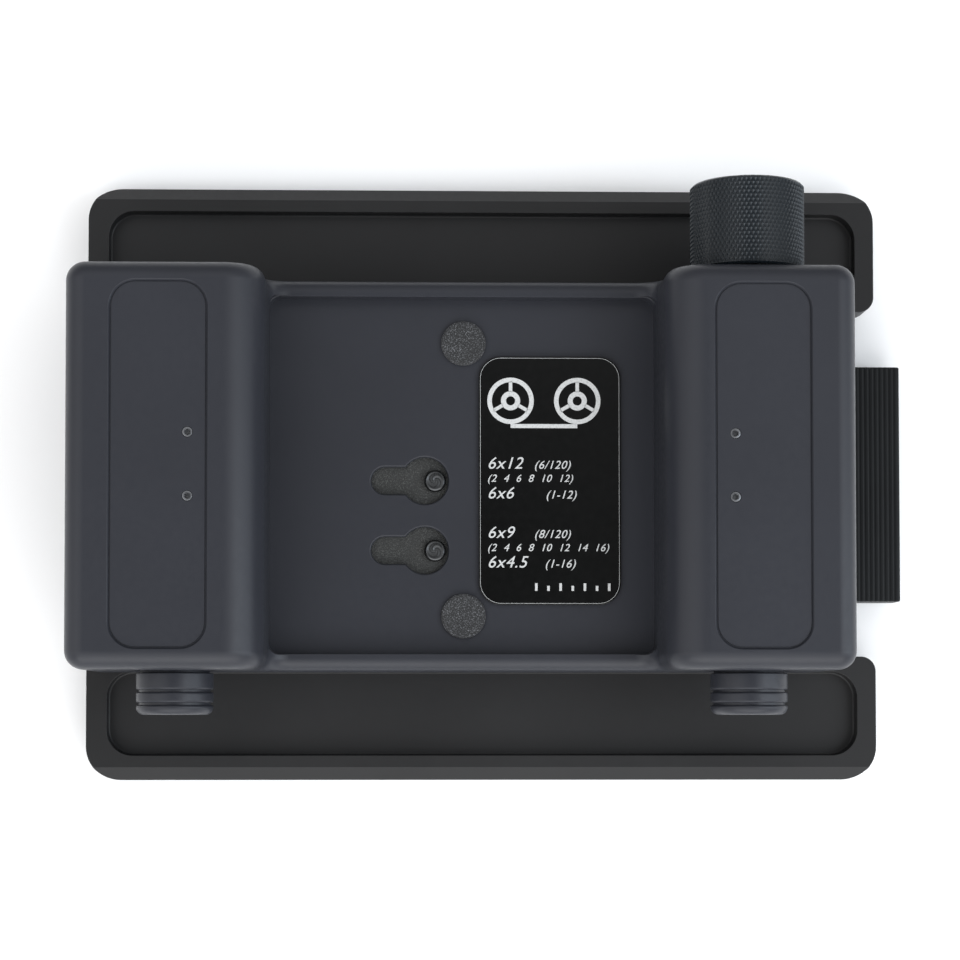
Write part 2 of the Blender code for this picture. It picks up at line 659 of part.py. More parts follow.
def build_windows():
    low, high = WINDOW_PLATE_Z
    plate_y = (WINDOW_Y[1] - SHUTTER_CHANNEL_HALF - 1, WINDOW_Y[0] + SHUTTER_CHANNEL_HALF + 1)
    plate_x = (SHUTTER_CHANNEL[0] - 3.5, SHUTTER_CHANNEL[1] + 3.7)
    plate = add_part("window_plate", box(plate_x, plate_y, (low, high)), "black_anodised")
    for i, x in enumerate(window_screw_places(), 1):
        place = (x, WINDOW_MIDDLE_Y, 0)
        cut(plate, rod((low - 1, high + 1), 1.0, place, "Z", 8))
        shape = [(low - 1.1, 1.6), (low - 0.2, 1.6), (low - 0.2, 0.7), (BRIDGE_INNER_Z + 1.4, 0.7)]
        add_part(f"window_plate_screw_{i}", turned(shape, place, "Z", 8), "polished_steel")
    for name, y in zip(("upper", "lower"), WINDOW_Y):
        place = (WINDOW_X, y, 0)
        seat = [(low - 1, 3.4), (low + 0.6, 3.4), (low + 0.6, 4.5), (high + 1, 4.5)]
        cut(plate, turned(seat, place, "Z"))
        add_part(f"red_window_{name}", rod((low + 0.8, high), 4.2, place, "Z"), "red_window")
        build_shutter(name, y)


def build_shutter(name, y):
    """A slide with a round peg. Its hole comes under the window when the peg is at the slot's left end."""
    slide_z = (SHUTTER_CHANNEL_Z - 1.2, SHUTTER_CHANNEL_Z - GAP)
    slide_x = (SHUTTER_CHANNEL[0] + SHUTTER_TRAVEL + GAP, SHUTTER_CHANNEL[1] - GAP)
    half = SHUTTER_CHANNEL_HALF - GAP
    blank = box(slide_x, (y - half, y + half), slide_z)
    shutter = add_part(f"window_shutter_{name}", blank, "black_felt", (PEG_X, y, slide_z[0]))
    join(shutter, rod((slide_z[0] + 0.2, BRIDGE_FLOOR_Z + 0.1), PEG_R, (PEG_X, y, 0), "Z"))
    cut(shutter, rod((slide_z[0] - 1, slide_z[1] + 1), 3.6, (WINDOW_X + SHUTTER_TRAVEL, y, 0), "Z"))


# ---------------------------------------------------------------- film transport


def spool_blank():
    half, bore_floor, inside = SPOOL_HALF, SPOOL_HALF - 5, SPOOL_HALF - 1.2
    near = [(-bore_floor, 0), (-bore_floor, SPOOL_BORE_R), (-half, SPOOL_BORE_R), (-half, SPOOL_FLANGE_R)]
    near += [(-inside, SPOOL_FLANGE_R), (-inside, SPOOL_CORE_R)]
    return near + [(-along, radius) for along, radius in reversed(near)]


def build_takeup():
    axis = (AXIS_X[1], 0, AXIS_Z)
    spool = add_part("takeup_spool", turned(spool_blank(), axis, steps=24), "black_plastic", axis)
    for side in (-1, 1):
        slot_y = sorted((side * (SPOOL_HALF - 3.6), side * (SPOOL_HALF + 1)))
        cut(spool, box((axis[0] - 5.6, axis[0] + 5.6), slot_y, (axis[2] - 0.85, axis[2] + 0.85)))
    cut(spool, box((axis[0] - 8, axis[0] + 8), (-24, 24), (axis[2] - 0.8, axis[2] + 0.8)))


def build_winding():
    axis = (AXIS_X[1], 0, AXIS_Z)
    inner, outer = CHAMBER_HALF, SHELL_HALF
    foot, end = KNOB_Y
    knob = [
        (foot, 3.3),
        (foot, KNOB_R - 0.3),
        (foot + 0.3, KNOB_R),
        (end - 0.7, KNOB_R),
        (end, KNOB_R - 0.7),
        (end, 4.6),
        (end - 2.2, 4.6),
        (end - 2.2, 1.5),
        (end - 3.1, 1.5),
        (end - 3.1, 3.3),
    ]
    add_part("winding_knob", turned(knob, axis, steps=32, bored=True), "black_anodised", axis)
    shaft = [
        (inner - 3.4, 0),
        (inner - 3.4, PIN_NOSE_R),
        (inner + 0.1, PIN_NOSE_R),
        (inner + 0.1, 4.7),
        (inner + 1.4, 4.7),
        (inner + 1.4, SHAFT_R),
        (end - 3.4, SHAFT_R),
        (end - 3.4, 0),
    ]
    shaft = add_part("winding_shaft", turned(shaft, axis), "polished_steel", axis)
    key = box((axis[0] - 5.2, axis[0] + 5.2), (inner - 3.4, inner + 0.4), (axis[2] - 0.55, axis[2] + 0.55))
    join(shaft, key)
    cut(shaft, rod((end - 9.2, end), 1.5, axis))
    head = [(end - 2.0, 2.8), (end - 0.5, 2.8), (end - 0.5, 0)]
    screw = [(end - 8.9, 0), (end - 8.9, 1.2), (end - 2.0, 1.2), *head]
    screw = add_part("knob_screw", turned(screw, axis), "polished_steel", axis)
    slot_x = (axis[0] - 3, axis[0] + 3)
    cut(screw, box(slot_x, (end - 1.2, end), (axis[2] - 0.4, axis[2] + 0.4)))
    add_part("winding_clutch", tube((inner + 1.7, outer - 0.3), 5.0, 3.3, axis), "brass")
    add_part("knob_washer", tube((outer + 0.3, foot - 0.2), 8.0, 3.4, axis), "black_plastic")


def build_spool_pins():
    """Sprung pins that hold the spools' lower ends, each in a bush that its pull knob covers."""
    knob_foot, knob_end = PULL_KNOB_Y
    cavity = knob_end + 1.7
    nose = -CHAMBER_HALF + 4.0
    r = PULL_KNOB_R
    groove_sides = [
        (PULL_GROOVE_Y[0] + 0.3, r),
        (PULL_GROOVE_Y[0] + 0.3, r - 0.5),
        (PULL_GROOVE_Y[0] - 0.2, r - 0.5),
        (PULL_GROOVE_Y[0] - 0.2, r),
        (PULL_GROOVE_Y[1] + 0.3, r),
        (PULL_GROOVE_Y[1] + 0.3, r - 0.5),
        (PULL_GROOVE_Y[1] - 0.2, r - 0.5),
        (PULL_GROOVE_Y[1] - 0.2, r),
    ]
    knob = [(cavity, 0), (cavity, 5.7), (knob_foot, 5.7), (knob_foot, r - 0.2), (knob_foot - 0.2, r)]
    knob += groove_sides
    knob += [(knob_end + 1.2, r), (knob_end + 0.5, r - 0.4), (knob_end, r - 1.3), (knob_end, 0)]
    pin = [
        (nose, 0),
        (nose, 2.4),
        (nose - 0.6, PIN_NOSE_R),
        (nose - 5.4, PIN_NOSE_R),
        (nose - 5.4, 3.6),
        (nose - 6.6, 3.6),
        (nose - 6.6, 1.5),
        (cavity + GAP, 1.5),
        (cavity + GAP, 0),
    ]
    shoulder = cavity + 1.6
    bush = [
        (-CHAMBER_HALF - 0.1, 3.9),
        (-CHAMBER_HALF - 0.1, 5.0),
        (cavity + 0.4, 5.0),
        (cavity + 0.4, 1.8),
        (shoulder, 1.8),
        (shoulder, 3.9),
    ]
    for side, x in zip(("left", "right"), AXIS_X):
        axis = (x, 0, AXIS_Z)
        add_part(f"pull_knob_{side}", turned(knob, axis, steps=20), "grey_anodised", axis)
        add_part(f"spool_pin_{side}", turned(pin, axis), "polished_steel", axis)
        add_part(f"pin_bush_{side}", turned(bush, axis, bored=True), "brass", axis)
        spring = coil((shoulder + 0.2, nose - 6.8), 2.7, 0.25, 3, axis)
        add_part(f"pull_spring_{side}", spring, "polished_steel", axis)


def build_supply_pivot():
    axis = (AXIS_X[0], 0, AXIS_Z)
    tip = CHAMBER_HALF - 3.8
    shape = [
        (tip, 0),
        (tip, 2.4),
        (tip + 0.6, PIN_NOSE_R),
        (CHAMBER_HALF - 0.3, PIN_NOSE_R),
        (CHAMBER_HALF - 0.3, 2.3),
        (CHAMBER_HALF + 3.7, 2.3),
        (CHAMBER_HALF + 3.7, 0),
    ]
    add_part("supply_pivot", turned(shape, axis), "polished_steel", axis)


def roller_places():
    return (FILM_CENTRE_X - ROLLER_OFFSET, FILM_CENTRE_X + ROLLER_OFFSET)


def build_rollers():
    axle_half = EAR_Y[1] - 0.6
    for side, x in zip(("left", "right"), roller_places()):
        axis = (x, 0, ROLLER_Z)
        sleeve = tube((-ROLLER_HALF, ROLLER_HALF), ROLLER_R, AXLE_R + GAP, axis)
        add_part(f"guide_roller_{side}", sleeve, "polished_steel", axis)
        axle = rod((-axle_half, axle_half), AXLE_R, axis, steps=10)
        add_part(f"roller_axle_{side}", axle, "polished_steel", axis)


def build_pressure_plate():
    """Plate that holds the film flat, on two posts whose heads are under the round covers."""
    low, high = PRESSURE_Z
    half_x, half_y = (size / 2 for size in PRESSURE_SIZE)
    plate_x = (FILM_CENTRE_X - half_x, FILM_CENTRE_X + half_x)
    outline = rounded_rectangle(plate_x, (-half_y, half_y), PRESSURE_CORNER)
    plate = add_part("pressure_plate", prism(outline, (low, high)), "black_anodised")
    for y in WINDOW_Y:
        cut(plate, rod((low - 1, high + 1), 4.0, (WINDOW_X, y, 0), "Z"))
    head = BOSS_SEAT_Z + GAP
    post = [(low + 0.4, 1.5), (head, 1.5), (head, 2.8), (head + 1.2, 2.8)]
    for name, y in zip(("lower", "upper"), POST_Y):
        place = (POST_X, y, 0)
        cut(plate, rod((low - 1, high + 1), 1.9, place, "Z"))
        screw = add_part(f"pressure_post_{name}", turned(post, place, "Z"), "polished_steel")
        cut(screw, coin_slot(POST_X, y, (head + 0.6, head + 2)))
        spring = coil((high + 0.3, BOSS_Z - 0.3), 3.0, 0.25, 4, place, "Z")
        add_part(f"pressure_spring_{name}", spring, "polished_steel")


# ---------------------------------------------------------------- assembly

for old in list(bpy.data.objects):
    bpy.data.objects.remove(old, do_unlink=True)

ROOT = bpy.data.objects.new("film_back", None)
ROOT.location = (-ORIGIN_X * MM, 0, 0)
bpy.context.scene.collection.objects.link(ROOT)

build_front_plate()
build_film_gate()
build_cover_screws()
build_seals()
build_dark_slide()
build_shell()
build_trim()
build_roll_springs()
build_windows()
build_takeup()
build_winding()
build_spool_pins()
build_supply_pivot()
build_rollers()
build_pressure_plate()
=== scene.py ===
"""Visible model of a 120 roll film back on a 4x5 insert plate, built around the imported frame.

Shapes are drawn in the plate's own millimetres, with x from the plate's centre, y along the spools and
z up from the rib, and become metres in the row frame when a piece is added.
"""

import json
from math import asin, atan2, cos, degrees, pi, radians, sin

import bmesh
import bpy
from mathutils import Matrix, Vector

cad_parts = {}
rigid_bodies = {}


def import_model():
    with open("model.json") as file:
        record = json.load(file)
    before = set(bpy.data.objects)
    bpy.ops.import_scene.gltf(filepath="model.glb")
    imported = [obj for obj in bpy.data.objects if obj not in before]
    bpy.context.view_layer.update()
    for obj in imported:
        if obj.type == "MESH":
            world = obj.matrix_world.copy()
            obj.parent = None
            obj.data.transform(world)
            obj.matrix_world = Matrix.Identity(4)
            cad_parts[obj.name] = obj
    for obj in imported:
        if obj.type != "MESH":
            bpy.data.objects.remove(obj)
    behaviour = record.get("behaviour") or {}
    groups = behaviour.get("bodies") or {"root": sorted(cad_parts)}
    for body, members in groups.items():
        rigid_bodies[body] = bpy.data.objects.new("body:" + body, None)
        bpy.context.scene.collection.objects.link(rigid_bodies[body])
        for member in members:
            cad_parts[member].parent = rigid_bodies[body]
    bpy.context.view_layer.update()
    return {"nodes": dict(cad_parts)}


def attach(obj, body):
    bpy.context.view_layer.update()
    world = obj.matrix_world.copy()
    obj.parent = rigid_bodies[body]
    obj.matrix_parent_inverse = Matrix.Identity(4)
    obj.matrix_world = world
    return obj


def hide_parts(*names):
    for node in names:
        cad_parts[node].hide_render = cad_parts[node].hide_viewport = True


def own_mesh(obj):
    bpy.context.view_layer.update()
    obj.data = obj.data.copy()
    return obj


for old in list(bpy.data.objects):
    bpy.data.objects.remove(old, do_unlink=True)

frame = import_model()

MM = 0.001
GAP = 0.3

# Insert plate
PLATE_LENGTH = 160.0
PLATE_WIDTH = 120.5
PLATE_FRONT_Z = 1.5
PLATE_REAR_Z = 9.5
PLATE_CORNER = 6.8
RIB_WIDTH = 3.0
RIB_FRAME = (118.0, 93.0)
EDGE_CHAMFER = 2.65
EDGE_FLAT = 2.4
POCKET_X = (-75.8, 76.1)
POCKET_INNER_Y = 38.3
POCKET_DEPTH = 3.0
POCKET_CORNER = 5.2
GROOVE_X = (-79.25, 68.95)
GROOVE_HALF = 37.95
GROOVE_CORNER = 2.25
GROOVE_WIDTH = 1.0
GROOVE_DEPTH = 0.8
NOTCH_X = 71.6
NOTCH_HALF = 35.2
NOTCH_CORNER = 3.0

# Dark slide grip
GRIP_X = (72.4, 85.3)
GRIP_HALF = 24.0
GRIP_Z = (1.7, 9.0)
TONGUE_END_X = GRIP_X[0] + 8.5
TONGUE_HALF = 21.3
TONGUE_Z = (3.2, 4.5)
RIVET_PLACES = [(GRIP_X[0] + 4.1, y) for y in (-16.0, 16.0)]
RIVET_HOLE_R = 1.5
RIVET_TOP_Z = 7.0

# Film path
FILM_CENTRE_X = -5.3
GATE_SIZE = (112.0, 56.0)
GATE_FLOOR_Z = 5.0
SLOT_Z = (3.2, 4.6)
SLOT_HALF = 31.2
SLOT_END_X = -66.5
GATE_FRAME_X = (-69.0, 58.4)
CHANNEL_HALF = 33.7
TROUGH_FLOOR_Z = 5.6
TROUGH_REACH = (63.9, 71.6)
TROUGH_HALF = 33.5
SEAL_X = (67.2, 69.3)
GATE_SCREW_PLACES = [(x, y) for x in (-55.0, 44.4) for y in (-32.3, 32.3)]
COVER_SCREW_PLACES = [(x, y) for x in (-76.4, 65.8) for y in (-35.2, 35.2)]
COVER_SCREW_HOLE_R = 1.5
COVER_SCREW_HEAD_R = 2.9
SMALL_SCREW_HOLE_R = 0.9

# Rear shell
SHELL_X = (-80.0, 69.5)
SHELL_HALF = 38.5
SHELL_BASE_Z = PLATE_REAR_Z + GAP
TOWER_INNER_X = (-42.6, 33.5)
TOWER_TOP_Z = 46.8
BRIDGE_TOP_Z = 25.7
BRIDGE_FLOOR_Z = 22.2
BRIDGE_INNER_Z = 19.7
BRIDGE_HALF = 35.1
TOWER_OUTER_ROUND = 4.0
TOWER_INNER_ROUND = 8.0
TOWER_FOOT_ROUND = 4.5
TOWER_END_ROUND = 3.6
BRIDGE_END_ROUND = 2.6
CHAMBER_HALF = 33.0
CHAMBER_X = ((-77.3, -45.6), (36.5, 66.8))
CHAMBER_TOP_Z = 44.0
PANEL_X = ((-71.5, -53.1), (42.4, 60.7))
PANEL_HALF = 34.6
PANEL_FLOOR_Z = TOWER_TOP_Z - 0.4
PANEL_CORNER = 5.0
PANEL_SLOPE = 0.4
RECESS_CORNER = 2.2

# Spools, pins and knobs
AXIS_X = (-60.3, 50.9)
AXIS_Z = 30.5
SPOOL_BORE_R = 5.3
PIVOT_HOLE_R = 2.6
PULL_KNOB_R = 7.45
PULL_KNOB_SEAT_R = 8.4
PULL_KNOB_Y = (-37.9, -47.0)
PULL_GROOVE_Y = (-42.4, -44.9)
KNOB_R = 11.1
KNOB_Y = (39.3, 56.3)
ROLLER_X = (-73.5, 62.9)
ROLLER_Z = 9.4
EAR_Y = (31.7, 33.25)
AXLE_HOLE_R = 1.3

# Windows and trim
WINDOW_X = -11.9
WINDOW_Y = (-0.8, -14.6)
WINDOW_R = 4.65
WINDOW_SLOT_END = -22.5
WINDOW_SLOT_HALF = 2.7
PEG_X = -9.9
PEG_R = 2.0
SHUTTER_TRAVEL = 9.9
SHUTTER_HOLE_R = 3.6
SHUTTER_CHANNEL = (-34.4, 4.0)
SHUTTER_CHANNEL_HALF = 6.3
SHUTTER_CHANNEL_Z = 21.2
POST_X = -4.3
POST_Y = (-27.6, 26.4)
BOSS_Z = 15.5
BOSS_R = 5.0
POST_HOLE_R = 1.9
POST_HEAD_HOLE_R = 3.2
POST_SEAT_Z = 19.3
LABEL_X = (-1.3, 26.8)
LABEL_Y = (-25.4, 23.8)
LABEL_CORNER = 4.4
TRIM_TOP_Z = BRIDGE_FLOOR_Z + 0.9
DISC_R = 4.4
PRINT_HALF = 0.012
GRUB_X = (-56.8, 46.2)
GRUB_Y = 6.0
GRUB_R = 0.96
GRUB_HOLE_R = 1.02

# The plate's centre in the row frame
ORIGIN_X = 2.65


# ---------------------------------------------------------------- shapes


def arc(centre, radius, start, end, steps):
    angles = (radians(start + (end - start) * i / steps) for i in range(steps + 1))
    return [(centre[0] + radius * cos(a), centre[1] + radius * sin(a)) for a in angles]


def rounded_rectangle(x, y, radius, steps=10):
    """An outline that grows outward by the amount it is called with."""

    def outline(grow=0.0):
        r = max(radius + grow, 0.02)
        low_x, high_x, low_y, high_y = x[0] - grow, x[1] + grow, y[0] - grow, y[1] + grow
        points = []
        corners = ((high_x, low_y, -90), (high_x, high_y, 0), (low_x, high_y, 90), (low_x, low_y, 180))
        for cx, cy, start in corners:
            centre = (cx - r if cx == high_x else cx + r, cy - r if cy == high_y else cy + r)
            points += arc(centre, r, start, start + 90, steps)
        return points

    return outline


def loft(loops, closed=False):
    """A solid through loops with the same number of points. A closed one runs back to its first loop."""
    bm = bmesh.new()
    rings = [[bm.verts.new(point) for point in loop] for loop in loops]
    pairs = list(zip(rings, rings[1:]))
    if closed:
        pairs.append((rings[-1], rings[0]))
    for low, high in pairs:
        for i in range(len(low)):
            j = (i + 1) % len(low)
            bm.faces.new((low[i], low[j], high[j], high[i]))
    if not closed:
        bm.faces.new(reversed(rings[0]))
        bm.faces.new(rings[-1])
    return bm


def stack(outline, levels):
    """A solid from (z, how far the outline has grown) levels."""
    return loft([[(px, py, z) for px, py in outline(grow)] for z, grow in levels])


def slab(outline, z, edge=0.15, steps=3):
    """A plate whose top and bottom edges are rounded."""
    turn = [radians(90 * i / steps) for i in range(steps + 1)]
    lower = [(z[0] + edge * (1 - cos(a)), -edge * (1 - sin(a))) for a in turn]
    upper = [(z[1] - edge * (1 - cos(a)), -edge * (1 - sin(a))) for a in reversed(turn)]
    return stack(outline, lower + upper)


def pocket(outline, floor, mouth, flare=0.15, fillet=0.3, steps=4):
    """A cutter for a pocket open upwards, with a rounded floor edge and an eased mouth."""
    turn = [radians(90 * i / steps) for i in range(steps + 1)]
    levels = [(floor + fillet * (1 - cos(a)), -fillet * (1 - sin(a))) for a in turn]
    levels += [(mouth - flare * (1 - sin(a)), flare * (1 - cos(a))) for a in turn]
    levels.append((mouth + 1, flare + 0.4))
    return stack(outline, levels)


def soft_pocket(outline, floor, mouth, width, steps=10):
    """A cutter for a shallow pocket whose wall is a soft slope centred on the outline."""
    levels = []
    for share in (i / steps for i in range(steps + 1)):
        levels.append((floor + (mouth - floor) * share * share * (3 - 2 * share), width * (share - 0.5)))
    levels.append((mouth + 1, width * 0.6))
    return stack(outline, levels)


def box(x, y, z):
    corners = [(x[0], y[0]), (x[1], y[0]), (x[1], y[1]), (x[0], y[1])]
    return stack(lambda grow: corners, [(z[0], 0), (z[1], 0)])


def turned(profile, centre, axis="Y", steps=96, bored=False):
    """A solid of revolution from (distance along the axis, radius) pairs. A radius of 0 closes an end."""
    bm = bmesh.new()
    rings = []
    for along, radius in profile:
        if radius == 0:
            rings.append([bm.verts.new((0, 0, along))])
        else:
            turn = [2 * pi * (i + 0.5) / steps for i in range(steps)]
            rings.append([bm.verts.new((radius * cos(a), radius * sin(a), along)) for a in turn])
    pairs = list(zip(rings, rings[1:]))
    if bored:
        pairs.append((rings[-1], rings[0]))
    for low, high in pairs:
        for i in range(steps):
            j = (i + 1) % steps
            corners = [low[i % len(low)], low[j % len(low)], high[j % len(high)], high[i % len(high)]]
            bm.faces.new(dict.fromkeys(corners))
    for ring in (rings[0], rings[-1]):
        if len(ring) > 1 and not bored:
            bm.faces.new(ring)
    if axis == "Y":
        bm.transform(Matrix.Rotation(-pi / 2, 4, "X"))
    bmesh.ops.translate(bm, verts=bm.verts, vec=Vector(centre))
    return bm


def rod(along, radius, centre, axis="Y", steps=64, edge=0.0):
    """A round bar or a cutter for a round hole, with its end edges eased if edge is given."""
    low, high = along
    if edge:
        profile = [(low, radius - edge), (low + 0.3 * edge, radius - 0.3 * edge), (low + edge, radius)]
        profile += [(high - edge, radius), (high - 0.3 * edge, radius - 0.3 * edge), (high, radius - edge)]
    else:
        profile = [(low, radius), (high, radius)]
    return turned(profile, centre, axis, steps)


def countersunk(bottom, mouth, radius, centre, axis="Z", flare=0.12, steps=64):
    """A cutter for a round hole whose mouth is eased. The mouth may lie on either side of the bottom."""
    out = 1 if mouth > bottom else -1
    profile = [
        (bottom, radius),
        (mouth - out * flare, radius),
        (mouth - out * 0.3 * flare, radius + 0.3 * flare),
        (mouth, radius + flare),
        (mouth + out, radius + flare + 0.3),
    ]
    return turned(profile, centre, axis, steps)


# ---------------------------------------------------------------- pieces


def to_row_frame(bm):
    """From plate millimetres to metres in the row frame."""
    bmesh.ops.translate(bm, verts=bm.verts, vec=(-ORIGIN_X, 0, 0))
    bmesh.ops.scale(bm, verts=bm.verts, vec=(MM, MM, MM))


def add_second_material(whole, bm):
    """Adds a shape in plate millimetres to a finished piece's bmesh, in the piece's second material."""
    to_row_frame(bm)
    for face in bm.faces:
        face.material_index = 1
    part = bpy.data.meshes.new("part")
    bm.to_mesh(part)
    bm.free()
    whole.from_mesh(part)
    bpy.data.meshes.remove(part)


def to_object(name, bm):
    to_row_frame(bm)
    bmesh.ops.recalc_face_normals(bm, faces=bm.faces)
    mesh = bpy.data.meshes.new(name)
    bm.to_mesh(mesh)
    bm.free()
    made = bpy.data.objects.new(name, mesh)
    bpy.context.scene.collection.objects.link(made)
    return made


def apply_modifiers(obj):
    graph = bpy.context.evaluated_depsgraph_get()
    done = bpy.data.meshes.new_from_object(obj.evaluated_get(graph))
    obj.modifiers.clear()
    obj.data = done


def combine(obj, steps):
    """Cuts or joins each (operation, bmesh) and applies the result."""
    tools = []
    for operation, bm in steps:
        tool = to_object(f"{obj.name}_tool", bm)
        modifier = obj.modifiers.new(operation, "BOOLEAN")
        modifier.operation = operation
        modifier.solver = "EXACT"
        modifier.object = tool
        tools.append(tool)
    apply_modifiers(obj)
    for tool in tools:
        bpy.data.objects.remove(tool, do_unlink=True)


def dress(obj, material, body, node, sharp=32, bevel=0.0):
    """Shades a piece, gives it its material if it has none, and lets it stand for one CAD node."""
    if material:
        obj.data.materials.append(material)
    if bevel:
        edge = obj.modifiers.new("edges", "BEVEL")
        edge.width = bevel * MM
        edge.segments = 2
        edge.limit_method = "ANGLE"
        edge.angle_limit = radians(40)
        apply_modifiers(obj)
    obj.data.shade_smooth()
    obj.data.set_sharp_from_angle(angle=radians(sharp))
    even = obj.modifiers.new("even_shading", "WEIGHTED_NORMAL")
    even.keep_sharp = True
    even.weight = 90
    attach(obj, body)
    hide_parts(node)
    return obj


def cuts(*shapes):
    return [("DIFFERENCE", bm) for bm in shapes]


def joins(*shapes):
    return [("UNION", bm) for bm in shapes]


# ---------------------------------------------------------------- materials


class Nodes:
    """Short way to wire one material."""

    def __init__(self, name):
        self.material = bpy.data.materials.new(name)
        self.material.use_nodes = True
        self.tree = self.material.node_tree
        self.shader = self.tree.nodes["Principled BSDF"]
        self.place = self.add("ShaderNodeTexCoord").outputs["Object"]

    def add(self, kind, **inputs):
        node = self.tree.nodes.new(kind)
        for key, value in inputs.items():
            self.feed(node.inputs[key.replace("_", " ")], value)
        return node

    def feed(self, socket, value):
        if isinstance(value, bpy.types.NodeSocket):
            self.tree.links.new(value, socket)
        else:
            socket.default_value = value

    def set(self, **inputs):
        for key, value in inputs.items():
            self.feed(self.shader.inputs[key.replace("_", " ")], value)

    def stretched(self, scale):
        """The object's coordinates, scaled apart along each axis."""
        mapping = self.add("ShaderNodeMapping", Vector=self.place)
        mapping.inputs["Scale"].default_value = scale
        return mapping.outputs["Vector"]

    def noise(self, scale, detail=3.0, vector=None, roughness=0.5):
        node = self.add("ShaderNodeTexNoise", Vector=vector or self.place, Scale=scale, Detail=detail)
        node.inputs["Roughness"].default_value = roughness
        return node.outputs["Fac"]

    def ramp(self, value, low, high, start=0.3, end=0.7):
        node = self.add("ShaderNodeMapRange", Value=value)
        for key, number in (("From Min", start), ("From Max", end), ("To Min", low), ("To Max", high)):
            node.inputs[key].default_value = number
        return node.outputs["Result"]

    def tint(self, value, low, high, start=0.3, end=0.7):
        node = self.tree.nodes.new("ShaderNodeValToRGB")
        self.feed(node.inputs["Fac"], value)
        first, last = node.color_ramp.elements
        first.position, last.position = start, end
        first.color, last.color = (*low, 1), (*high, 1)
        return node.outputs["Color"]

    def mix(self, fac, low, high):
        node = self.tree.nodes.new("ShaderNodeMix")
        node.data_type = "RGBA"
        self.feed(node.inputs["Factor"], fac)
        self.feed(node.inputs["A"], low)
        self.feed(node.inputs["B"], high)
        return node.outputs["Result"]

    def bump(self, height, depth_mm):
        node = self.add("ShaderNodeBump", Height=height, Distance=depth_mm * MM, Strength=1.0)
        return node.outputs["Normal"]


def scaled(colour, factor):
    return tuple(channel * factor for channel in colour)


def anodised(name, colour, roughness, gloss=0.3, grain=0.004, uneven=0.06):
    """Bead blasted, dyed aluminium: an even fine grain, and hardly any cloudiness."""
    n = Nodes(name)
    cloud = n.noise(35, 3)
    fine = n.noise(4200, 2)
    n.set(Base_Color=n.tint(cloud, scaled(colour, 1 - uneven), scaled(colour, 1 + uneven)))
    n.set(Specular_IOR_Level=gloss)
    n.set(Roughness=n.ramp(n.noise(900, 3), roughness - 0.04, roughness + 0.04))
    n.set(Normal=n.bump(fine, grain))
    return n.material


def steel(name, colour=(0.62, 0.61, 0.59), roughness=0.22, brush=(20, 1800, 900), depth=0.0015):
    """Ground steel with fine lines along the axis whose scale is lowest."""
    n = Nodes(name)
    lines = n.noise(3.0, 2, n.stretched(brush))
    n.set(Metallic=1.0, Base_Color=n.tint(lines, scaled(colour, 0.92), colour))
    n.set(Roughness=n.ramp(lines, roughness - 0.03, roughness + 0.06))
    n.set(Normal=n.bump(lines, depth))
    return n.material


def moulded(name, colour, roughness, grain=0.012, scale=2200, gloss=0.5):
    n = Nodes(name)
    n.set(Specular_IOR_Level=gloss)
    fine = n.noise(scale, 3)
    n.set(Base_Color=n.tint(n.noise(60, 3), scaled(colour, 0.85), scaled(colour, 1.2)))
    n.set(Roughness=n.ramp(fine, roughness - 0.07, roughness + 0.07))
    n.set(Normal=n.bump(fine, grain))
    return n.material


def flock(name, dark, tip_highlight, start, end, scale=3600, depth=0.12):
    """Short fibre pile: a dark colour, with scattered bright tips painted on as highlights."""
    n = Nodes(name)
    fibres_and_tip_highlights = n.noise(scale, 4, roughness=0.75)
    patches = n.noise(420, 2)
    # The bright end of this tint is a painted highlight on fibre tips; the noise also gives the fibres'
    # real bump.
    pile_with_highlights = n.tint(fibres_and_tip_highlights, dark, tip_highlight, start, end)
    n.set(Base_Color=n.mix(n.ramp(patches, 0.0, 0.5), pile_with_highlights, (*dark, 1)))
    n.set(Roughness=0.7, Sheen_Weight=0.1, Sheen_Roughness=0.5)
    n.set(Normal=n.bump(fibres_and_tip_highlights, depth))
    return n.material


BODY_GREY = anodised("body_grey", (0.0215, 0.023, 0.029), 0.38, 0.26)
PLATE_BLACK = anodised("plate_black", (0.0175, 0.0175, 0.018), 0.42, 0.18, uneven=0.09)
KNOB_BLACK = anodised("knob_black", (0.0095, 0.013, 0.0165), 0.28, 0.28)
INNER_BLACK = anodised("inner_black", (0.02, 0.02, 0.021), 0.5, 0.3)
GRIP_BLACK = moulded("grip_black", (0.006, 0.0068, 0.0075), 0.45, gloss=0.15)
SPOOL_BLACK = moulded("spool_black", (0.018, 0.018, 0.019), 0.35, 0.006)
STEEL = steel("ground_steel")
STEEL_TURNED = steel("turned_steel", brush=(60, 2400, 60), depth=0.003)
STEEL_DARK = steel("blackened_steel", (0.16, 0.165, 0.175), 0.3)
# Flock colours: the dark pile, then the bright tips, which are painted highlights.
FLOCK_GREY = flock("flock_grey", (0.006, 0.0065, 0.0075), (0.28, 0.29, 0.31), 0.52, 0.72)
FLOCK_DARK = flock("flock_dark", (0.0098, 0.0105, 0.0102), (0.10, 0.105, 0.10), 0.5, 0.74)
PEG_GREY = steel("peg_grey", (0.06, 0.062, 0.064), 0.28, (1400, 300, 300), 0.004)


def make_brass():
    n = Nodes("turned_brass")
    lines = n.noise(3.0, 2, n.stretched((60, 2400, 60)))
    n.set(Metallic=1.0, Base_Color=n.tint(lines, (0.5, 0.33, 0.13), (0.72, 0.5, 0.22)))
    n.set(Roughness=n.ramp(lines, 0.2, 0.4), Normal=n.bump(lines, 0.005))
    return n.material


def make_label_black():
    n = Nodes("label_black")
    n.set(Base_Color=n.tint(n.noise(45, 3), (0.0012, 0.0014, 0.0014), (0.0018, 0.002, 0.002)))
    n.set(Roughness=n.ramp(n.noise(700, 3), 0.15, 0.19), Normal=n.bump(n.noise(900, 2), 0.0008))
    n.set(Specular_IOR_Level=0.4)
    return n.material
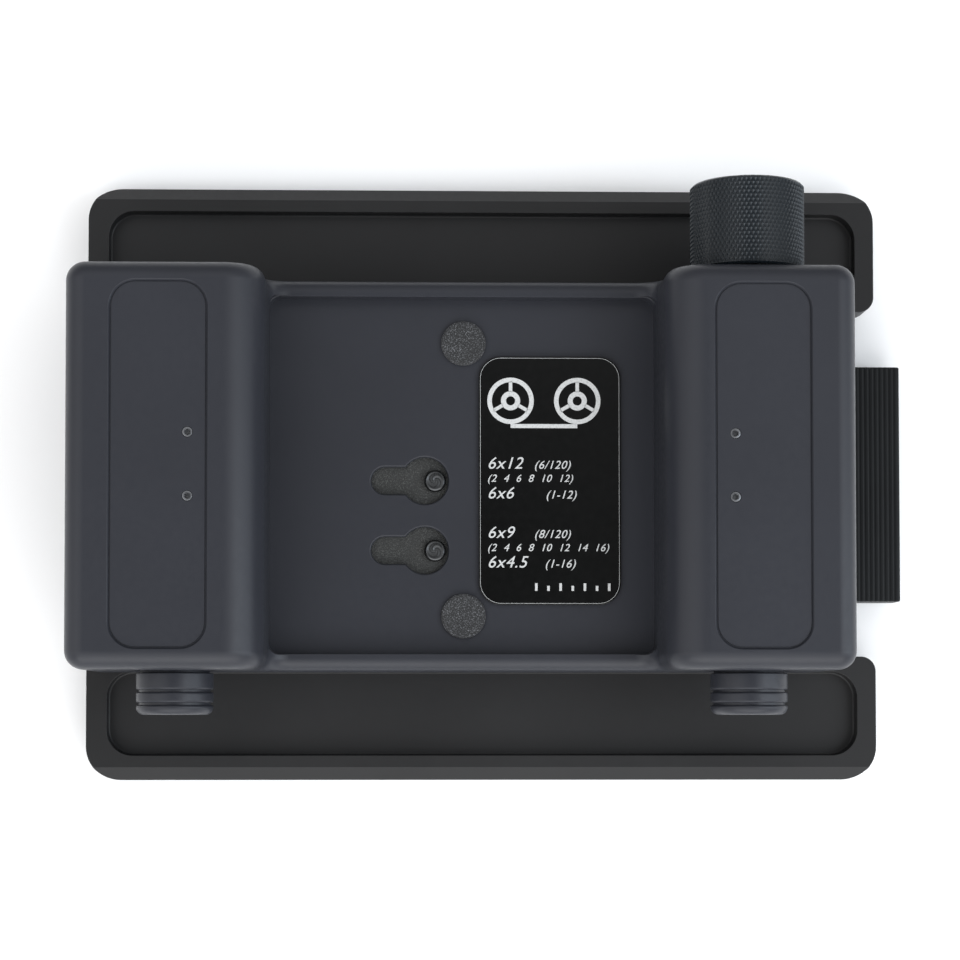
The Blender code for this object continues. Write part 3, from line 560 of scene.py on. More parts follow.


# White for the label's print, also used for the painted highlight ring on the label's rim.
def make_print_and_highlight_white():
    n = Nodes("print_and_highlight_white")
    n.set(Base_Color=n.tint(n.noise(2600, 3), (0.34, 0.35, 0.35), (0.52, 0.53, 0.53), 0.25, 0.5))
    n.set(Roughness=n.ramp(n.noise(1500, 2), 0.42, 0.6))
    return n.material


def make_red_window():
    n = Nodes("red_glass")
    n.set(Base_Color=n.tint(n.noise(50, 2), (0.40, 0.008, 0.006), (0.5, 0.016, 0.01)))
    n.set(Roughness=n.ramp(n.noise(600, 2), 0.06, 0.14), Transmission_Weight=0.5, IOR=1.49)
    return n.material


def make_floor():
    n = Nodes("floor_pale")
    n.set(Base_Color=n.tint(n.noise(9, 3), (0.94, 0.94, 0.94), (0.96, 0.96, 0.96)))
    n.set(Roughness=n.ramp(n.noise(300, 3), 0.7, 0.85))
    return n.material


BRASS = make_brass()
LABEL_BLACK = make_label_black()
PRINT_AND_HIGHLIGHT_WHITE = make_print_and_highlight_white()
RED_GLASS = make_red_window()


# ---------------------------------------------------------------- insert plate


def plate_outline(grow=0.0, steps=12):
    half_x, half_y, r, n = PLATE_LENGTH / 2, PLATE_WIDTH / 2, PLATE_CORNER, NOTCH_CORNER
    notch_x, notch_half = NOTCH_X + grow, NOTCH_HALF - grow
    notch = [
        *arc((half_x - n, -NOTCH_HALF - n), n + grow, 0, 90, steps),
        (notch_x, -notch_half),
        (notch_x, notch_half),
        *arc((half_x - n, NOTCH_HALF + n), n + grow, -90, 0, steps),
    ]
    return (
        arc((-half_x + r, -half_y + r), r + grow, 180, 270, steps)
        + arc((half_x - r, -half_y + r), r + grow, 270, 360, steps)
        + notch
        + arc((half_x - r, half_y - r), r + grow, 0, 90, steps)
        + arc((-half_x + r, half_y - r), r + grow, 90, 180, steps)
    )


def edge_wedge(side):
    edge, top, reach = side * PLATE_WIDTH / 2, PLATE_REAR_Z, EDGE_CHAMFER
    section = [
        (edge - side * reach, top),
        (edge + side * reach, top - 2 * reach),
        (edge + side * reach, top + reach),
        (edge - side * reach, top + reach),
    ]
    return loft([[(x, y, z) for y, z in section] for x in (-PLATE_LENGTH, PLATE_LENGTH)])


def build_plate():
    plate = to_object("insert_plate", slab(plate_outline, (PLATE_FRONT_Z, PLATE_REAR_Z), 0.2))
    rib_half = [size / 2 for size in RIB_FRAME]
    rib_x = (FILM_CENTRE_X - rib_half[0], FILM_CENTRE_X + rib_half[0])
    rib = rounded_rectangle(rib_x, (-rib_half[1], rib_half[1]), 4.0)
    inside_x = (rib_x[0] + RIB_WIDTH, rib_x[1] - RIB_WIDTH)
    inside_half = rib_half[1] - RIB_WIDTH
    inside = rounded_rectangle(inside_x, (-inside_half, inside_half), 2.0)
    foot = [(0, -0.25), (0.1, -0.07), (0.3, 0), (PLATE_FRONT_Z + 1, 0)]
    hollow = [(-1, 0.25), (0, 0.25), (0.2, 0.05), (0.3, 0), (PLATE_FRONT_Z, 0)]
    combine(plate, joins(stack(rib, foot)) + cuts(stack(inside, hollow)))

    outer_y = PLATE_WIDTH / 2 - EDGE_CHAMFER - EDGE_FLAT
    pockets = []
    for side in (-1, 1):
        span = sorted((side * POCKET_INNER_Y, side * outer_y))
        outline = rounded_rectangle(POCKET_X, span, POCKET_CORNER, 16)
        pockets.append(pocket(outline, PLATE_REAR_Z - POCKET_DEPTH, PLATE_REAR_Z, 0.16, 0.45))
    combine(plate, cuts(edge_wedge(-1), edge_wedge(1), *pockets))

    above = PLATE_REAR_Z + 1
    channel_x = (GATE_FRAME_X[0] - GAP, GATE_FRAME_X[1] + GAP)
    gate_half_x, gate_half_y = (size / 2 for size in GATE_SIZE)
    gate_x = (FILM_CENTRE_X - gate_half_x, FILM_CENTRE_X + gate_half_x)
    gate = rounded_rectangle(gate_x, (-gate_half_y, gate_half_y), 0.4, 4)
    openings = [box(channel_x, (-CHANNEL_HALF, CHANNEL_HALF), (GATE_FLOOR_Z, above))]
    for side in (-1, 1):
        trough_x = sorted(FILM_CENTRE_X + side * reach for reach in TROUGH_REACH)
        openings.append(box(trough_x, (-TROUGH_HALF, TROUGH_HALF), (TROUGH_FLOOR_Z, above)))
    mouth = [(-1, 0.3), (PLATE_FRONT_Z, 0.3), (PLATE_FRONT_Z + 0.3, 0), (above, 0)]
    openings.append(stack(gate, mouth))
    openings.append(box((SLOT_END_X, NOTCH_X + 1), (-SLOT_HALF, SLOT_HALF), SLOT_Z))
    open_x = (SLOT_END_X, GATE_FRAME_X[1])
    openings.append(box(open_x, (-SLOT_HALF, SLOT_HALF), (SLOT_Z[0], GATE_FLOOR_Z + 0.1)))
    openings.append(box(SEAL_X, (-SLOT_HALF, SLOT_HALF), (SLOT_Z[1] - 0.1, above)))
    seat_z = PLATE_FRONT_Z + 2
    for x, y in COVER_SCREW_PLACES:
        openings.append(countersunk(seat_z, PLATE_FRONT_Z, COVER_SCREW_HEAD_R, (x, y, 0)))
        openings.append(rod((PLATE_FRONT_Z, above), COVER_SCREW_HOLE_R, (x, y, 0), "Z", 32))
    for x, y in GATE_SCREW_PLACES:
        depth = (GATE_FLOOR_Z - 2.0, GATE_FLOOR_Z + 1)
        openings.append(rod(depth, SMALL_SCREW_HOLE_R, (x, y, 0), "Z", 24))
    combine(plate, cuts(*openings))

    groove = rounded_rectangle(GROOVE_X, (-GROOVE_HALF, GROOVE_HALF), GROOVE_CORNER)
    low = PLATE_REAR_Z - GROOVE_DEPTH
    section = ((low, 0), (above, 0), (above, -GROOVE_WIDTH), (low, -GROOVE_WIDTH))
    ring = [[(x, y, z) for x, y in groove(grow)] for z, grow in section]
    combine(plate, cuts(loft(ring, closed=True)))
    return dress(plate, PLATE_BLACK, "insert_plate", "front_plate")


# ---------------------------------------------------------------- dark slide grip


def build_grip(pitch=1.0, depth=0.08):
    """Bar with fine ribs along Y on its rear face, and eased ends."""
    foot, top = GRIP_Z
    valley = top - depth
    section = [(GRIP_X[0], foot + 0.2), (GRIP_X[0] + 0.2, foot), (GRIP_X[1] - 0.5, foot)]
    section += [(GRIP_X[1] - 0.15, foot + 0.15), (GRIP_X[1], foot + 0.5), (GRIP_X[1], top - 0.6)]
    section += [(GRIP_X[1] - 0.1, top - 0.25), (GRIP_X[1] - 0.35, top - 0.05)]
    ribs = int((GRIP_X[1] - GRIP_X[0] - 1) / pitch)
    for i in range(ribs):
        x = GRIP_X[1] - 0.6 - i * pitch
        section += [(x, top), (x - 0.35, top), (x - 0.45, top - 0.03), (x - 0.6, valley), (x - 0.8, valley)]
        section += [(x - 0.95, top - 0.03)]
    section += [(GRIP_X[0] + 0.3, top), (GRIP_X[0], top - 0.3)]
    middle_x, middle_z = sum(GRIP_X) / 2, sum(GRIP_Z) / 2
    ends = [(-GRIP_HALF, 0.3), (-GRIP_HALF + 0.08, 0.1), (-GRIP_HALF + 0.3, 0.0)]
    ends += [(-y, inset) for y, inset in reversed(ends)]
    shape = []
    for y, inset in ends:
        share_x = 1 - inset / (GRIP_X[1] - middle_x)
        share_z = 1 - inset / (top - middle_z)
        loop = []
        for x, z in section:
            loop.append((middle_x + (x - middle_x) * share_x, y, middle_z + (z - middle_z) * share_z))
        shape.append(loop)
    grip = to_object("slide_grip", loft(shape))
    hollow = box((GRIP_X[0] - 1, TONGUE_END_X), (-TONGUE_HALF, TONGUE_HALF), TONGUE_Z)
    rivets = [rod((0, RIVET_TOP_Z), RIVET_HOLE_R, (x, y, 0), "Z", 32) for x, y in RIVET_PLACES]
    combine(grip, cuts(hollow, *rivets))
    return dress(grip, GRIP_BLACK, "dark_slide_unit", "dark_slide_grip", sharp=28)


# ---------------------------------------------------------------- rear shell


def shell_profile(steps=16):
    """(x, z, normal x, normal z, end rounding) from the shell's left foot to its right foot."""
    points = []

    def corner(x, z, radius, start, end, rounding, concave=False):
        for i in range(steps + 1):
            share = i / steps
            a = radians(start + (end - start) * share)
            out = -1 if concave else 1
            ease = share * share * (3 - 2 * share)
            blend = rounding[0] + (rounding[1] - rounding[0]) * ease
            points.append((x + radius * cos(a), z + radius * sin(a), out * cos(a), out * sin(a), blend))

    tower, bridge = TOWER_END_ROUND, BRIDGE_END_ROUND
    middle = (tower + bridge) / 2
    ro, ri, rf = TOWER_OUTER_ROUND, TOWER_INNER_ROUND, TOWER_FOOT_ROUND
    left, right = SHELL_X
    inner_left, inner_right = TOWER_INNER_X
    points.append((left, SHELL_BASE_Z, -1, 0, tower))
    points.append((left, SHELL_BASE_Z + 0.25, -1, 0, tower))
    corner(left + ro, TOWER_TOP_Z - ro, ro, 180, 90, (tower, tower))
    corner(inner_left - ri, TOWER_TOP_Z - ri, ri, 90, 0, (tower, middle))
    corner(inner_left + rf, BRIDGE_TOP_Z + rf, rf, 180, 270, (middle, bridge), True)
    corner(inner_right - rf, BRIDGE_TOP_Z + rf, rf, 270, 360, (bridge, middle), True)
    corner(inner_right + ri, TOWER_TOP_Z - ri, ri, 180, 90, (middle, tower))
    corner(right - ro, TOWER_TOP_Z - ro, ro, 90, 0, (tower, tower))
    points.append((right, SHELL_BASE_Z + 0.25, 1, 0, tower))
    points.append((right, SHELL_BASE_Z, 1, 0, tower))
    return points


def shell_skin(steps=12):
    """The section drawn out along Y, with its outer edges rolled over at both ends."""
    loops = []
    for side in (-1, 1):
        turns = range(steps + 1) if side < 0 else range(steps, -1, -1)
        for i in turns:
            a = radians(90 * i / steps)
            loop = []
            for x, z, nx, nz, r in shell_profile():
                inset = r * (1 - sin(a))
                level = z if z < SHELL_BASE_Z + 0.3 else z - nz * inset
                loop.append((x - nx * inset, side * (SHELL_HALF - r * (1 - cos(a))), level))
            loops.append(loop)
    return loft(loops)


def keyhole(y, steps=14):
    def outline(grow=0.0):
        radius, half = WINDOW_R + grow, WINDOW_SLOT_HALF + grow
        mouth = degrees(asin(half / radius))
        hole = arc((WINDOW_X, y), radius, mouth - 180, 180 - mouth, 3 * steps)
        end = (WINDOW_SLOT_END + WINDOW_SLOT_HALF, y)
        return hole + arc(end, half, 90, 270, steps)

    return outline


def chamber(x):
    below, top, corner = SHELL_BASE_Z - 1, CHAMBER_TOP_Z, 3.0
    section = [(x[0], below), (x[1], below), (x[1], top - corner)]
    section += arc((x[1] - corner, top - corner), corner, 0, 90, 6)[1:]
    section += arc((x[0] + corner, top - corner), corner, 90, 180, 6)
    return loft([[(px, y, pz) for px, pz in section] for y in (-CHAMBER_HALF, CHAMBER_HALF)])


def panel_outline(x):
    return rounded_rectangle(x, (-PANEL_HALF, PANEL_HALF), PANEL_CORNER, 16)


def shell_openings():
    below = SHELL_BASE_Z - 1
    bridge_x = (CHAMBER_X[0][1] - 1, CHAMBER_X[1][0] + 1)
    shapes = [chamber(x) for x in CHAMBER_X]
    shapes.append(box(bridge_x, (-CHAMBER_HALF, CHAMBER_HALF), (below, BRIDGE_INNER_Z)))
    recess_x = (TOWER_INNER_X[0] + 0.05, TOWER_INNER_X[1] - 0.05)
    mouth = BRIDGE_TOP_Z
    levels = [(BRIDGE_FLOOR_Z, 0.0), (mouth - 0.2, 0.0), (mouth - 0.04, 0.07), (mouth + 0.02, 0.22)]
    levels.append((mouth + TOWER_FOOT_ROUND + 0.1, 0.22))
    recess = []
    for z, ease in levels:
        half = BRIDGE_HALF + ease
        outline = rounded_rectangle(recess_x, (-half, half), RECESS_CORNER, 12)
        recess.append([(px, py, z) for px, py in outline()])
    shapes.append(loft(recess))
    for x in PANEL_X:
        shapes.append(soft_pocket(panel_outline(x), PANEL_FLOOR_Z, TOWER_TOP_Z, PANEL_SLOPE))
    return shapes


def panel_grooves():
    """Fine grooves at the foot of the tower panels' walls."""
    section = ((0.1, -0.1), (-0.22, -0.16), (-0.22, -0.34), (0.1, -0.42))
    shapes = []
    for x in PANEL_X:
        panel = panel_outline(x)
        loops = [[(px, py, PANEL_FLOOR_Z + z) for px, py in panel(grow)] for z, grow in section]
        shapes.append(loft(loops, closed=True))
    return shapes


def shell_bores():
    supply, takeup = ((x, 0, AXIS_Z) for x in AXIS_X)
    shapes = [
        countersunk(CHAMBER_HALF - 1, SHELL_HALF, SPOOL_BORE_R, takeup, "Y"),
        rod((CHAMBER_HALF - 1, CHAMBER_HALF + 4), PIVOT_HOLE_R, supply, steps=48),
    ]
    for axis in (supply, takeup):
        shapes.append(countersunk(-SHELL_HALF + 1, -SHELL_HALF, PULL_KNOB_SEAT_R, axis, "Y", steps=96))
        shapes.append(rod((-SHELL_HALF, -CHAMBER_HALF + 1), SPOOL_BORE_R, axis))
    for x, y in COVER_SCREW_PLACES:
        shapes.append(rod((SHELL_BASE_Z - 1, SHELL_BASE_Z + 5.5), COVER_SCREW_HOLE_R, (x, y, 0), "Z", 32))
    for x in GRUB_X:
        for y in (-GRUB_Y, GRUB_Y):
            hole = countersunk(CHAMBER_TOP_Z - 1, PANEL_FLOOR_Z, GRUB_HOLE_R, (x, y, 0), "Z", 0.1, 48)
            shapes.append(hole)
    return shapes


def build_shell():
    shell = to_object("shell_body", shell_skin())
    combine(shell, cuts(*shell_openings()))
    combine(shell, cuts(*shell_bores()))
    low, high = BRIDGE_INNER_Z, BRIDGE_FLOOR_Z
    windows = []
    for y in WINDOW_Y:
        channel_y = (y - SHUTTER_CHANNEL_HALF, y + SHUTTER_CHANNEL_HALF)
        windows.append(box(SHUTTER_CHANNEL, channel_y, (low - 1, SHUTTER_CHANNEL_Z)))
        levels = [(SHUTTER_CHANNEL_Z - 0.1, 0), (high - 0.4, 0), (high - 0.2, 0.06)]
        levels += [(high - 0.06, 0.2), (high, 0.4), (high + 1, 0.8)]
        windows.append(stack(keyhole(y), levels))
    bosses = [rod((BOSS_Z, low + 0.5), BOSS_R, (POST_X, y, 0), "Z") for y in POST_Y]
    combine(shell, cuts(*windows) + joins(*bosses))
    seats = []
    for y in POST_Y:
        place = (POST_X, y, 0)
        seats.append(rod((BOSS_Z - 1, POST_SEAT_Z), POST_HOLE_R, place, "Z", 32))
        seats.append(rod((POST_SEAT_Z, high + 1), POST_HEAD_HOLE_R, place, "Z", 48))
    middle_y = sum(WINDOW_Y) / 2
    for x in (SHUTTER_CHANNEL[0] - 1.8, SHUTTER_CHANNEL[1] + 2.0):
        seats.append(rod((low - 1, low + 1.7), SMALL_SCREW_HOLE_R, (x, middle_y, 0), "Z", 24))
    ears = []
    for x in ROLLER_X:
        for side in (-1, 1):
            ear_y = sorted(side * y for y in EAR_Y)
            hole_y = sorted(side * (y - GAP) for y in (EAR_Y[0] - 0.7, EAR_Y[1]))
            ears.append(box((x - 2.2, x + 2.2), ear_y, (ROLLER_Z - 2.0, ROLLER_Z + 3.5)))
            seats.append(rod(hole_y, AXLE_HOLE_R, (x, 0, ROLLER_Z), steps=24))
    combine(shell, joins(*ears) + cuts(*seats))
    combine(shell, cuts(*panel_grooves()))
    return dress(shell, BODY_GREY, "shell", "rear_shell")


# ---------------------------------------------------------------- trim on the bridge


def text_mesh(text, x, y, height, slant=0.3, spacing=1.08):
    """Numbers as a thin layer, as a bmesh in plate millimetres on z = 0."""
    curve = bpy.data.curves.new("print", "FONT")
    curve.body = text
    curve.size = height / 0.7
    curve.shear = slant
    curve.space_character = spacing
    curve.offset = 0.008
    curve.extrude = PRINT_HALF
    curve.resolution_u = 6
    temporary = bpy.data.objects.new("print", curve)
    bpy.context.scene.collection.objects.link(temporary)
    graph = bpy.context.evaluated_depsgraph_get()
    mesh = bpy.data.meshes.new_from_object(temporary.evaluated_get(graph))
    bm = bmesh.new()
    bm.from_mesh(mesh)
    bmesh.ops.translate(bm, verts=bm.verts, vec=(x, y, 0))
    bpy.data.objects.remove(temporary, do_unlink=True)
    bpy.data.meshes.remove(mesh)
    return bm


def ring_mesh(x, y, outer, inner):
    section = [(-PRINT_HALF, inner), (-PRINT_HALF, outer), (PRINT_HALF, outer), (PRINT_HALF, inner)]
    return turned(section, (x, y, 0), "Z", 64, bored=True)


def bar_mesh(x, y):
    return box(x, y, (-PRINT_HALF, PRINT_HALF))


def label_print_and_highlight():
    """A plain pictogram of film between two spools, over rows of frame sizes and frame numbers; the thin
    ring inside the edge is a painted highlight.
    """
    parts = []
    spool_x, spool_y = (5.0, 18.2), 15.0
    for x in spool_x:
        parts.append(ring_mesh(x, spool_y, 4.6, 3.7))
        parts.append(ring_mesh(x, spool_y, 1.9, 0.9))
        for i in range(3):
            a = pi / 2 + 2 * pi * i / 3
            spoke = bar_mesh((1.8, 3.8), (-0.35, 0.35))
            spoke.transform(Matrix.Rotation(a, 4, "Z"))
            bmesh.ops.translate(spoke, verts=spoke.verts, vec=(x, spool_y, 0))
            parts.append(spoke)
    parts.append(bar_mesh(spool_x, (spool_y - 5.4, spool_y - 4.6)))
    margin, tall, medium, small = 0.35, 2.3, 1.6, 1.45
    rows = [
        ("6x12", margin, 1.55, tall),
        ("(6/120)", 9.6, 1.55, medium),
        ("(2  4  6  8  10  12)", margin, -1.05, small),
        ("6x6", margin, -4.35, tall),
        ("(1-12)", 11.9, -4.35, medium),
        ("6x9", margin, -12.15, tall),
        ("(8/120)", 9.6, -12.15, medium),
        ("(2  4  6  8  10  12  14  16)", margin, -14.75, small),
        ("6x4.5", margin, -18.0, tall),
        ("(1-16)", 11.7, -18.0, medium),
    ]
    parts += [text_mesh(*row) for row in rows]
    for i in range(7):
        low_x = 9.8 + 2.4 * i
        parts.append(bar_mesh((low_x, low_x + 0.5), (-22.6, -21.6 if i % 2 else -21.1)))
    # A thin white ring just inside the label's edge: a painted highlight standing in for light on the
    # label's rim.
    edge = rounded_rectangle(LABEL_X, LABEL_Y, LABEL_CORNER, 12)
    painted_highlight_ring = ((-PRINT_HALF, -0.3), (PRINT_HALF, -0.3), (PRINT_HALF, -0.36), (-PRINT_HALF, -0.36))
    parts.append(loft([[(px, py, z) for px, py in edge(grow)] for z, grow in painted_highlight_ring], closed=True))
    return parts


def build_label():
    outline = rounded_rectangle(LABEL_X, LABEL_Y, LABEL_CORNER, 16)
    label = to_object("label_card", slab(outline, (BRIDGE_FLOOR_Z + 0.2, TRIM_TOP_Z), 0.13))
    label.data.materials.append(LABEL_BLACK)
    label.data.materials.append(PRINT_AND_HIGHLIGHT_WHITE)
    whole = bmesh.new()
    whole.from_mesh(label.data)
    for bm in label_print_and_highlight():
        bmesh.ops.translate(bm, verts=bm.verts, vec=(0, 0, TRIM_TOP_Z + 0.002))
        add_second_material(whole, bm)
    whole.to_mesh(label.data)
    whole.free()
    return dress(label, None, "shell", "label_plate")


def build_cover(name, y):
    low, high, r = BRIDGE_FLOOR_Z + GAP, TRIM_TOP_Z, DISC_R
    edge = [(low, 0), (low, r - 0.1), (low + 0.1, r), (high - 0.3, r), (high - 0.12, r - 0.08)]
    edge += [(high - 0.03, r - 0.25), (high, r - 0.5), (high, 0.66 * r), (high, 0.33 * r), (high, 0)]
    disc = to_object(f"flock_disc_{name}", turned(edge, (POST_X, y, 0), "Z"))
    return dress(disc, FLOCK_GREY, "shell", f"screw_cover_{name}")


def build_shutter(name, y):
    """Flocked slide with a turned peg that has a finger hollow."""
    low, high = SHUTTER_CHANNEL_Z - 1.2, SHUTTER_CHANNEL_Z - GAP
    slide_x = (SHUTTER_CHANNEL[0] + SHUTTER_TRAVEL + GAP, SHUTTER_CHANNEL[1] - GAP)
    half = SHUTTER_CHANNEL_HALF - GAP
    outline = rounded_rectangle(slide_x, (y - half, y + half), 0.6, 4)
    slide = to_object(f"shutter_{name}", slab(outline, (low, high), 0.08))
    hole = rod((low - 1, high + 1), SHUTTER_HOLE_R, (WINDOW_X + SHUTTER_TRAVEL, y, 0), "Z")
    combine(slide, cuts(hole))
    slide.data.materials.append(FLOCK_DARK)
    slide.data.materials.append(PEG_GREY)
    top = BRIDGE_FLOOR_Z + 0.1
    r = PEG_R + 0.15
    peg = [(low + 0.2, 0), (low + 0.2, r), (top - 0.65, r), (top - 0.35, r - 0.05), (top - 0.12, r - 0.2)]
    peg += [(top, r - 0.45), (top - 0.04, r - 0.6)]
    dish = r - 0.6
    peg += [(top - 0.04 - 0.12 * (1 - share), dish * share) for share in (0.85, 0.7, 0.55, 0.4, 0.25, 0.12)]
    peg.append((top - 0.16, 0))
    bm = turned(peg, (PEG_X, y, 0), "Z", 64)
    for v in bm.verts:
        along = Vector((v.co.x - PEG_X, v.co.y - y))
        if v.co.z > top - 0.2 and along.length < dish - 0.05:
            swirl = sin(2 * atan2(along.y, along.x) + 4.5 * along.length)
            v.co.z += 0.07 * swirl * min(1, 2 * along.length)
    whole = bmesh.new()
    whole.from_mesh(slide.data)
    add_second_material(whole, bm)
    whole.to_mesh(slide.data)
    whole.free()
    return dress(slide, None, f"shutter_{name}", f"window_shutter_{name}")


def build_grub(side, x, end, y):
    top = PANEL_FLOOR_Z - 0.1
    body = rod((top - 2.9, top), GRUB_R, (x, y, 0), "Z", 48, 0.1)
    grub = to_object(f"set_screw_{side}_{end}", body)
    socket = turned([(top - 1.1, 0.5), (top - 0.1, 0.5), (top, 0.6), (top + 1, 0.7)], (x, y, 0), "Z", 6)
    combine(grub, cuts(socket))
    return dress(grub, STEEL_DARK, "shell", f"grub_screw_{side}_{end}")


# ---------------------------------------------------------------- knobs and spool


def build_winding_knob(columns=78, pitch=1.6, depth=0.24, fine=6):
    """Knob with a diamond knurl between two plain bands."""
    foot, end = KNOB_Y
    low, high = foot + 0.35, end - 0.6
    rows = round((high - low) / pitch)
    steps = columns * fine
    count = rows * fine
    inner = [(end - 2.2, 4.6), (end - 2.2, 1.5), (end - 3.1, 1.5), (end - 3.1, 3.3), (foot, 3.3)]

    def wave(value):
        value = value % 1.0
        return 2 * min(value, 1 - value)

    loops = []
    centre = Vector((AXIS_X[1], 0, AXIS_Z))

    def ring(along, radius_at):
        loop = []
        for i in range(steps):
            a = 2 * pi * i / steps
            r = radius_at(i)
            loop.append((centre.x + r * cos(a), along, centre.z + r * sin(a)))
        loops.append(loop)

    for along, radius in ((foot, KNOB_R - 0.55), (foot + 0.12, KNOB_R - 0.4), (low - 0.02, KNOB_R - depth)):
        ring(along, lambda i, radius=radius: radius)
    for j in range(count + 1):
        v = j / fine

        def knurled(i, v=v):
            u = i / fine
            rise = min(min(wave(u + v), wave(u - v)) * 1.35, 1.0)
            return KNOB_R - depth * (1 - rise)

        ring(low + (high - low) * j / count, knurled)
    for along, radius in (
        (high + 0.05, KNOB_R - depth),
        (end - 0.4, KNOB_R - depth - 0.03),
        (end - 0.15, KNOB_R - 0.45),
        (end - 0.03, KNOB_R - 0.65),
        (end, KNOB_R - 0.9),
        (end, 4.9),
        (end - 0.2, 4.6),
    ):
        ring(along, lambda i, radius=radius: radius)
    for along, radius in inner:
        ring(along, lambda i, radius=radius: radius)
    knob = to_object("wind_knob", loft(loops, closed=True))
    return dress(knob, KNOB_BLACK, "winding", "winding_knob", sharp=24)


def build_pull_knob(side, x):
    """Hollow knob on a short neck, with two grooves and a rounded end."""
    foot, end = PULL_KNOB_Y
    r = PULL_KNOB_R
    cavity, neck = end + 1.7, foot - 1.0
    profile = [(cavity, 0), (cavity, 5.5), (cavity + 0.2, 5.7), (foot - 0.15, 5.7), (foot, 5.85)]
    profile += [(foot, r - 0.8), (neck, r - 0.7), (neck - 0.03, r - 0.25), (neck - 0.12, r - 0.08)]
    profile.append((neck - 0.3, r))
    for groove in PULL_GROOVE_Y:
        for step, drop in ((0.72, 0), (0.48, 0.03), (0.33, 0.12), (0.26, 0.25), (0.24, 0.55)):
            profile.append((groove + step, r - drop))
        for step, drop in ((0.22, 0.55), (0.24, 0.25), (0.31, 0.12), (0.46, 0.03), (0.7, 0)):
            profile.append((groove - step, r - drop))
    rounding = 1.5
    for i in range(9):
        a = radians(90 * i / 8)
        profile.append((end + rounding * (1 - sin(a)), r - rounding * (1 - cos(a))))
    profile.append((end, 0))
    knob = to_object(f"pin_knob_{side}", turned(profile, (x, 0, AXIS_Z)))
    return dress(knob, BODY_GREY, f"pin_{side}", f"pull_knob_{side}")


def build_spool():
    """Empty spool: flanges with a rolled rim, a core with a slit, and a key slot in each end."""
    half, r, core = 32.5, 12.6, 6.0
    rim = [(-half + 4.6, 0), (-half + 5, 3.4), (-half + 0.3, 3.4), (-half, 3.7), (-half, r - 1.4)]
    rim += [(-half, r - 0.3), (-half + 0.25, r), (-half + 0.85, r), (-half + 1.1, r - 0.3)]
    rim.append((-half + 1.1, core + 0.6))
    rim += [(-half + 1.25, core + 0.2), (-half + 1.7, core)]
    profile = rim + [(-along, radius) for along, radius in reversed(rim)]
    spool = to_object("film_spool", turned(profile, (AXIS_X[1], 0, AXIS_Z), steps=96))
    slots = []
    for side in (-1, 1):
        slot_y = sorted((side * (half - 3.6), side * (half + 1)))
        slots.append(box((AXIS_X[1] - 5.6, AXIS_X[1] + 5.6), slot_y, (AXIS_Z - 0.85, AXIS_Z + 0.85)))
    slots.append(box((AXIS_X[1] - 8, AXIS_X[1] + 8), (-24, 24), (AXIS_Z - 0.8, AXIS_Z + 0.8)))
    combine(spool, cuts(*slots))
    return dress(spool, SPOOL_BLACK, "takeup", "takeup_spool")


# ---------------------------------------------------------------- pieces taken over from the frame


def refine(node, name, body, material, slot, bevel):
    """A copy of a CAD node with its facets merged and its edges eased."""
    bm = bmesh.new()
    bm.from_mesh(frame["nodes"][node].data)
    bmesh.ops.remove_doubles(bm, verts=bm.verts, dist=2e-6)
    bmesh.ops.dissolve_limit(bm, angle_limit=radians(1), verts=bm.verts, edges=bm.edges)
    mesh = bpy.data.meshes.new(name)
    bm.to_mesh(mesh)
    bm.free()
    made = bpy.data.objects.new(name, mesh)
    bpy.context.scene.collection.objects.link(made)
    return dress(made, material, body, node, bevel=bevel)


def build_springs():
    """Springs on the fixed shell, each refined from its CAD node and given a mesh of its own."""
    look = {"body": "shell", "material": STEEL, "slot": "polished_steel", "bevel": 0}
    for side in ("left", "right"):
        spring = refine(f"pull_spring_{side}", f"pin_spring_{side}", **look)
        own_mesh(spring)
    for name in ("lower", "upper"):
        spring = refine(f"pressure_spring_{name}", f"plate_spring_{name}", **look)
        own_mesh(spring)


def repaint(material, *nodes):
    """Gives CAD nodes whose shape is right a finished material."""
    for node in nodes:
        obj = frame["nodes"][node]
        obj.data.materials.clear()
        obj.data.materials.append(material)


build_plate()
build_grip()
build_shell()
build_label()
for cover_name, cover_y in zip(("lower", "upper"), POST_Y):
    build_cover(cover_name, cover_y)
for shutter_name, shutter_y in zip(("upper", "lower"), WINDOW_Y):
    build_shutter(shutter_name, shutter_y)
for grub_side, grub_x in zip(("left", "right"), GRUB_X):
    for grub_end, grub_y in (("lower", -GRUB_Y), ("upper", GRUB_Y)):
        build_grub(grub_side, grub_x, grub_end, grub_y)
build_winding_knob()
for knob_side, knob_x in zip(("left", "right"), AXIS_X):
    build_pull_knob(knob_side, knob_x)
build_spool()

refine("film_gate", "gate_frame", "insert_plate", STEEL, "polished_steel", 0.1)
refine("pressure_plate", "press_plate", "pressure_unit", INNER_BLACK, "black_anodised", 0.25)
refine("window_plate", "window_carrier", "shell", INNER_BLACK, "black_anodised", 0.15)
refine("dark_slide", "slide_sheet", "dark_slide_unit", STEEL, "polished_steel", 0.1)
refine("light_seal_bar", "seal_bar", "insert_plate", STEEL_DARK, "polished_steel", 0.1)
build_springs()

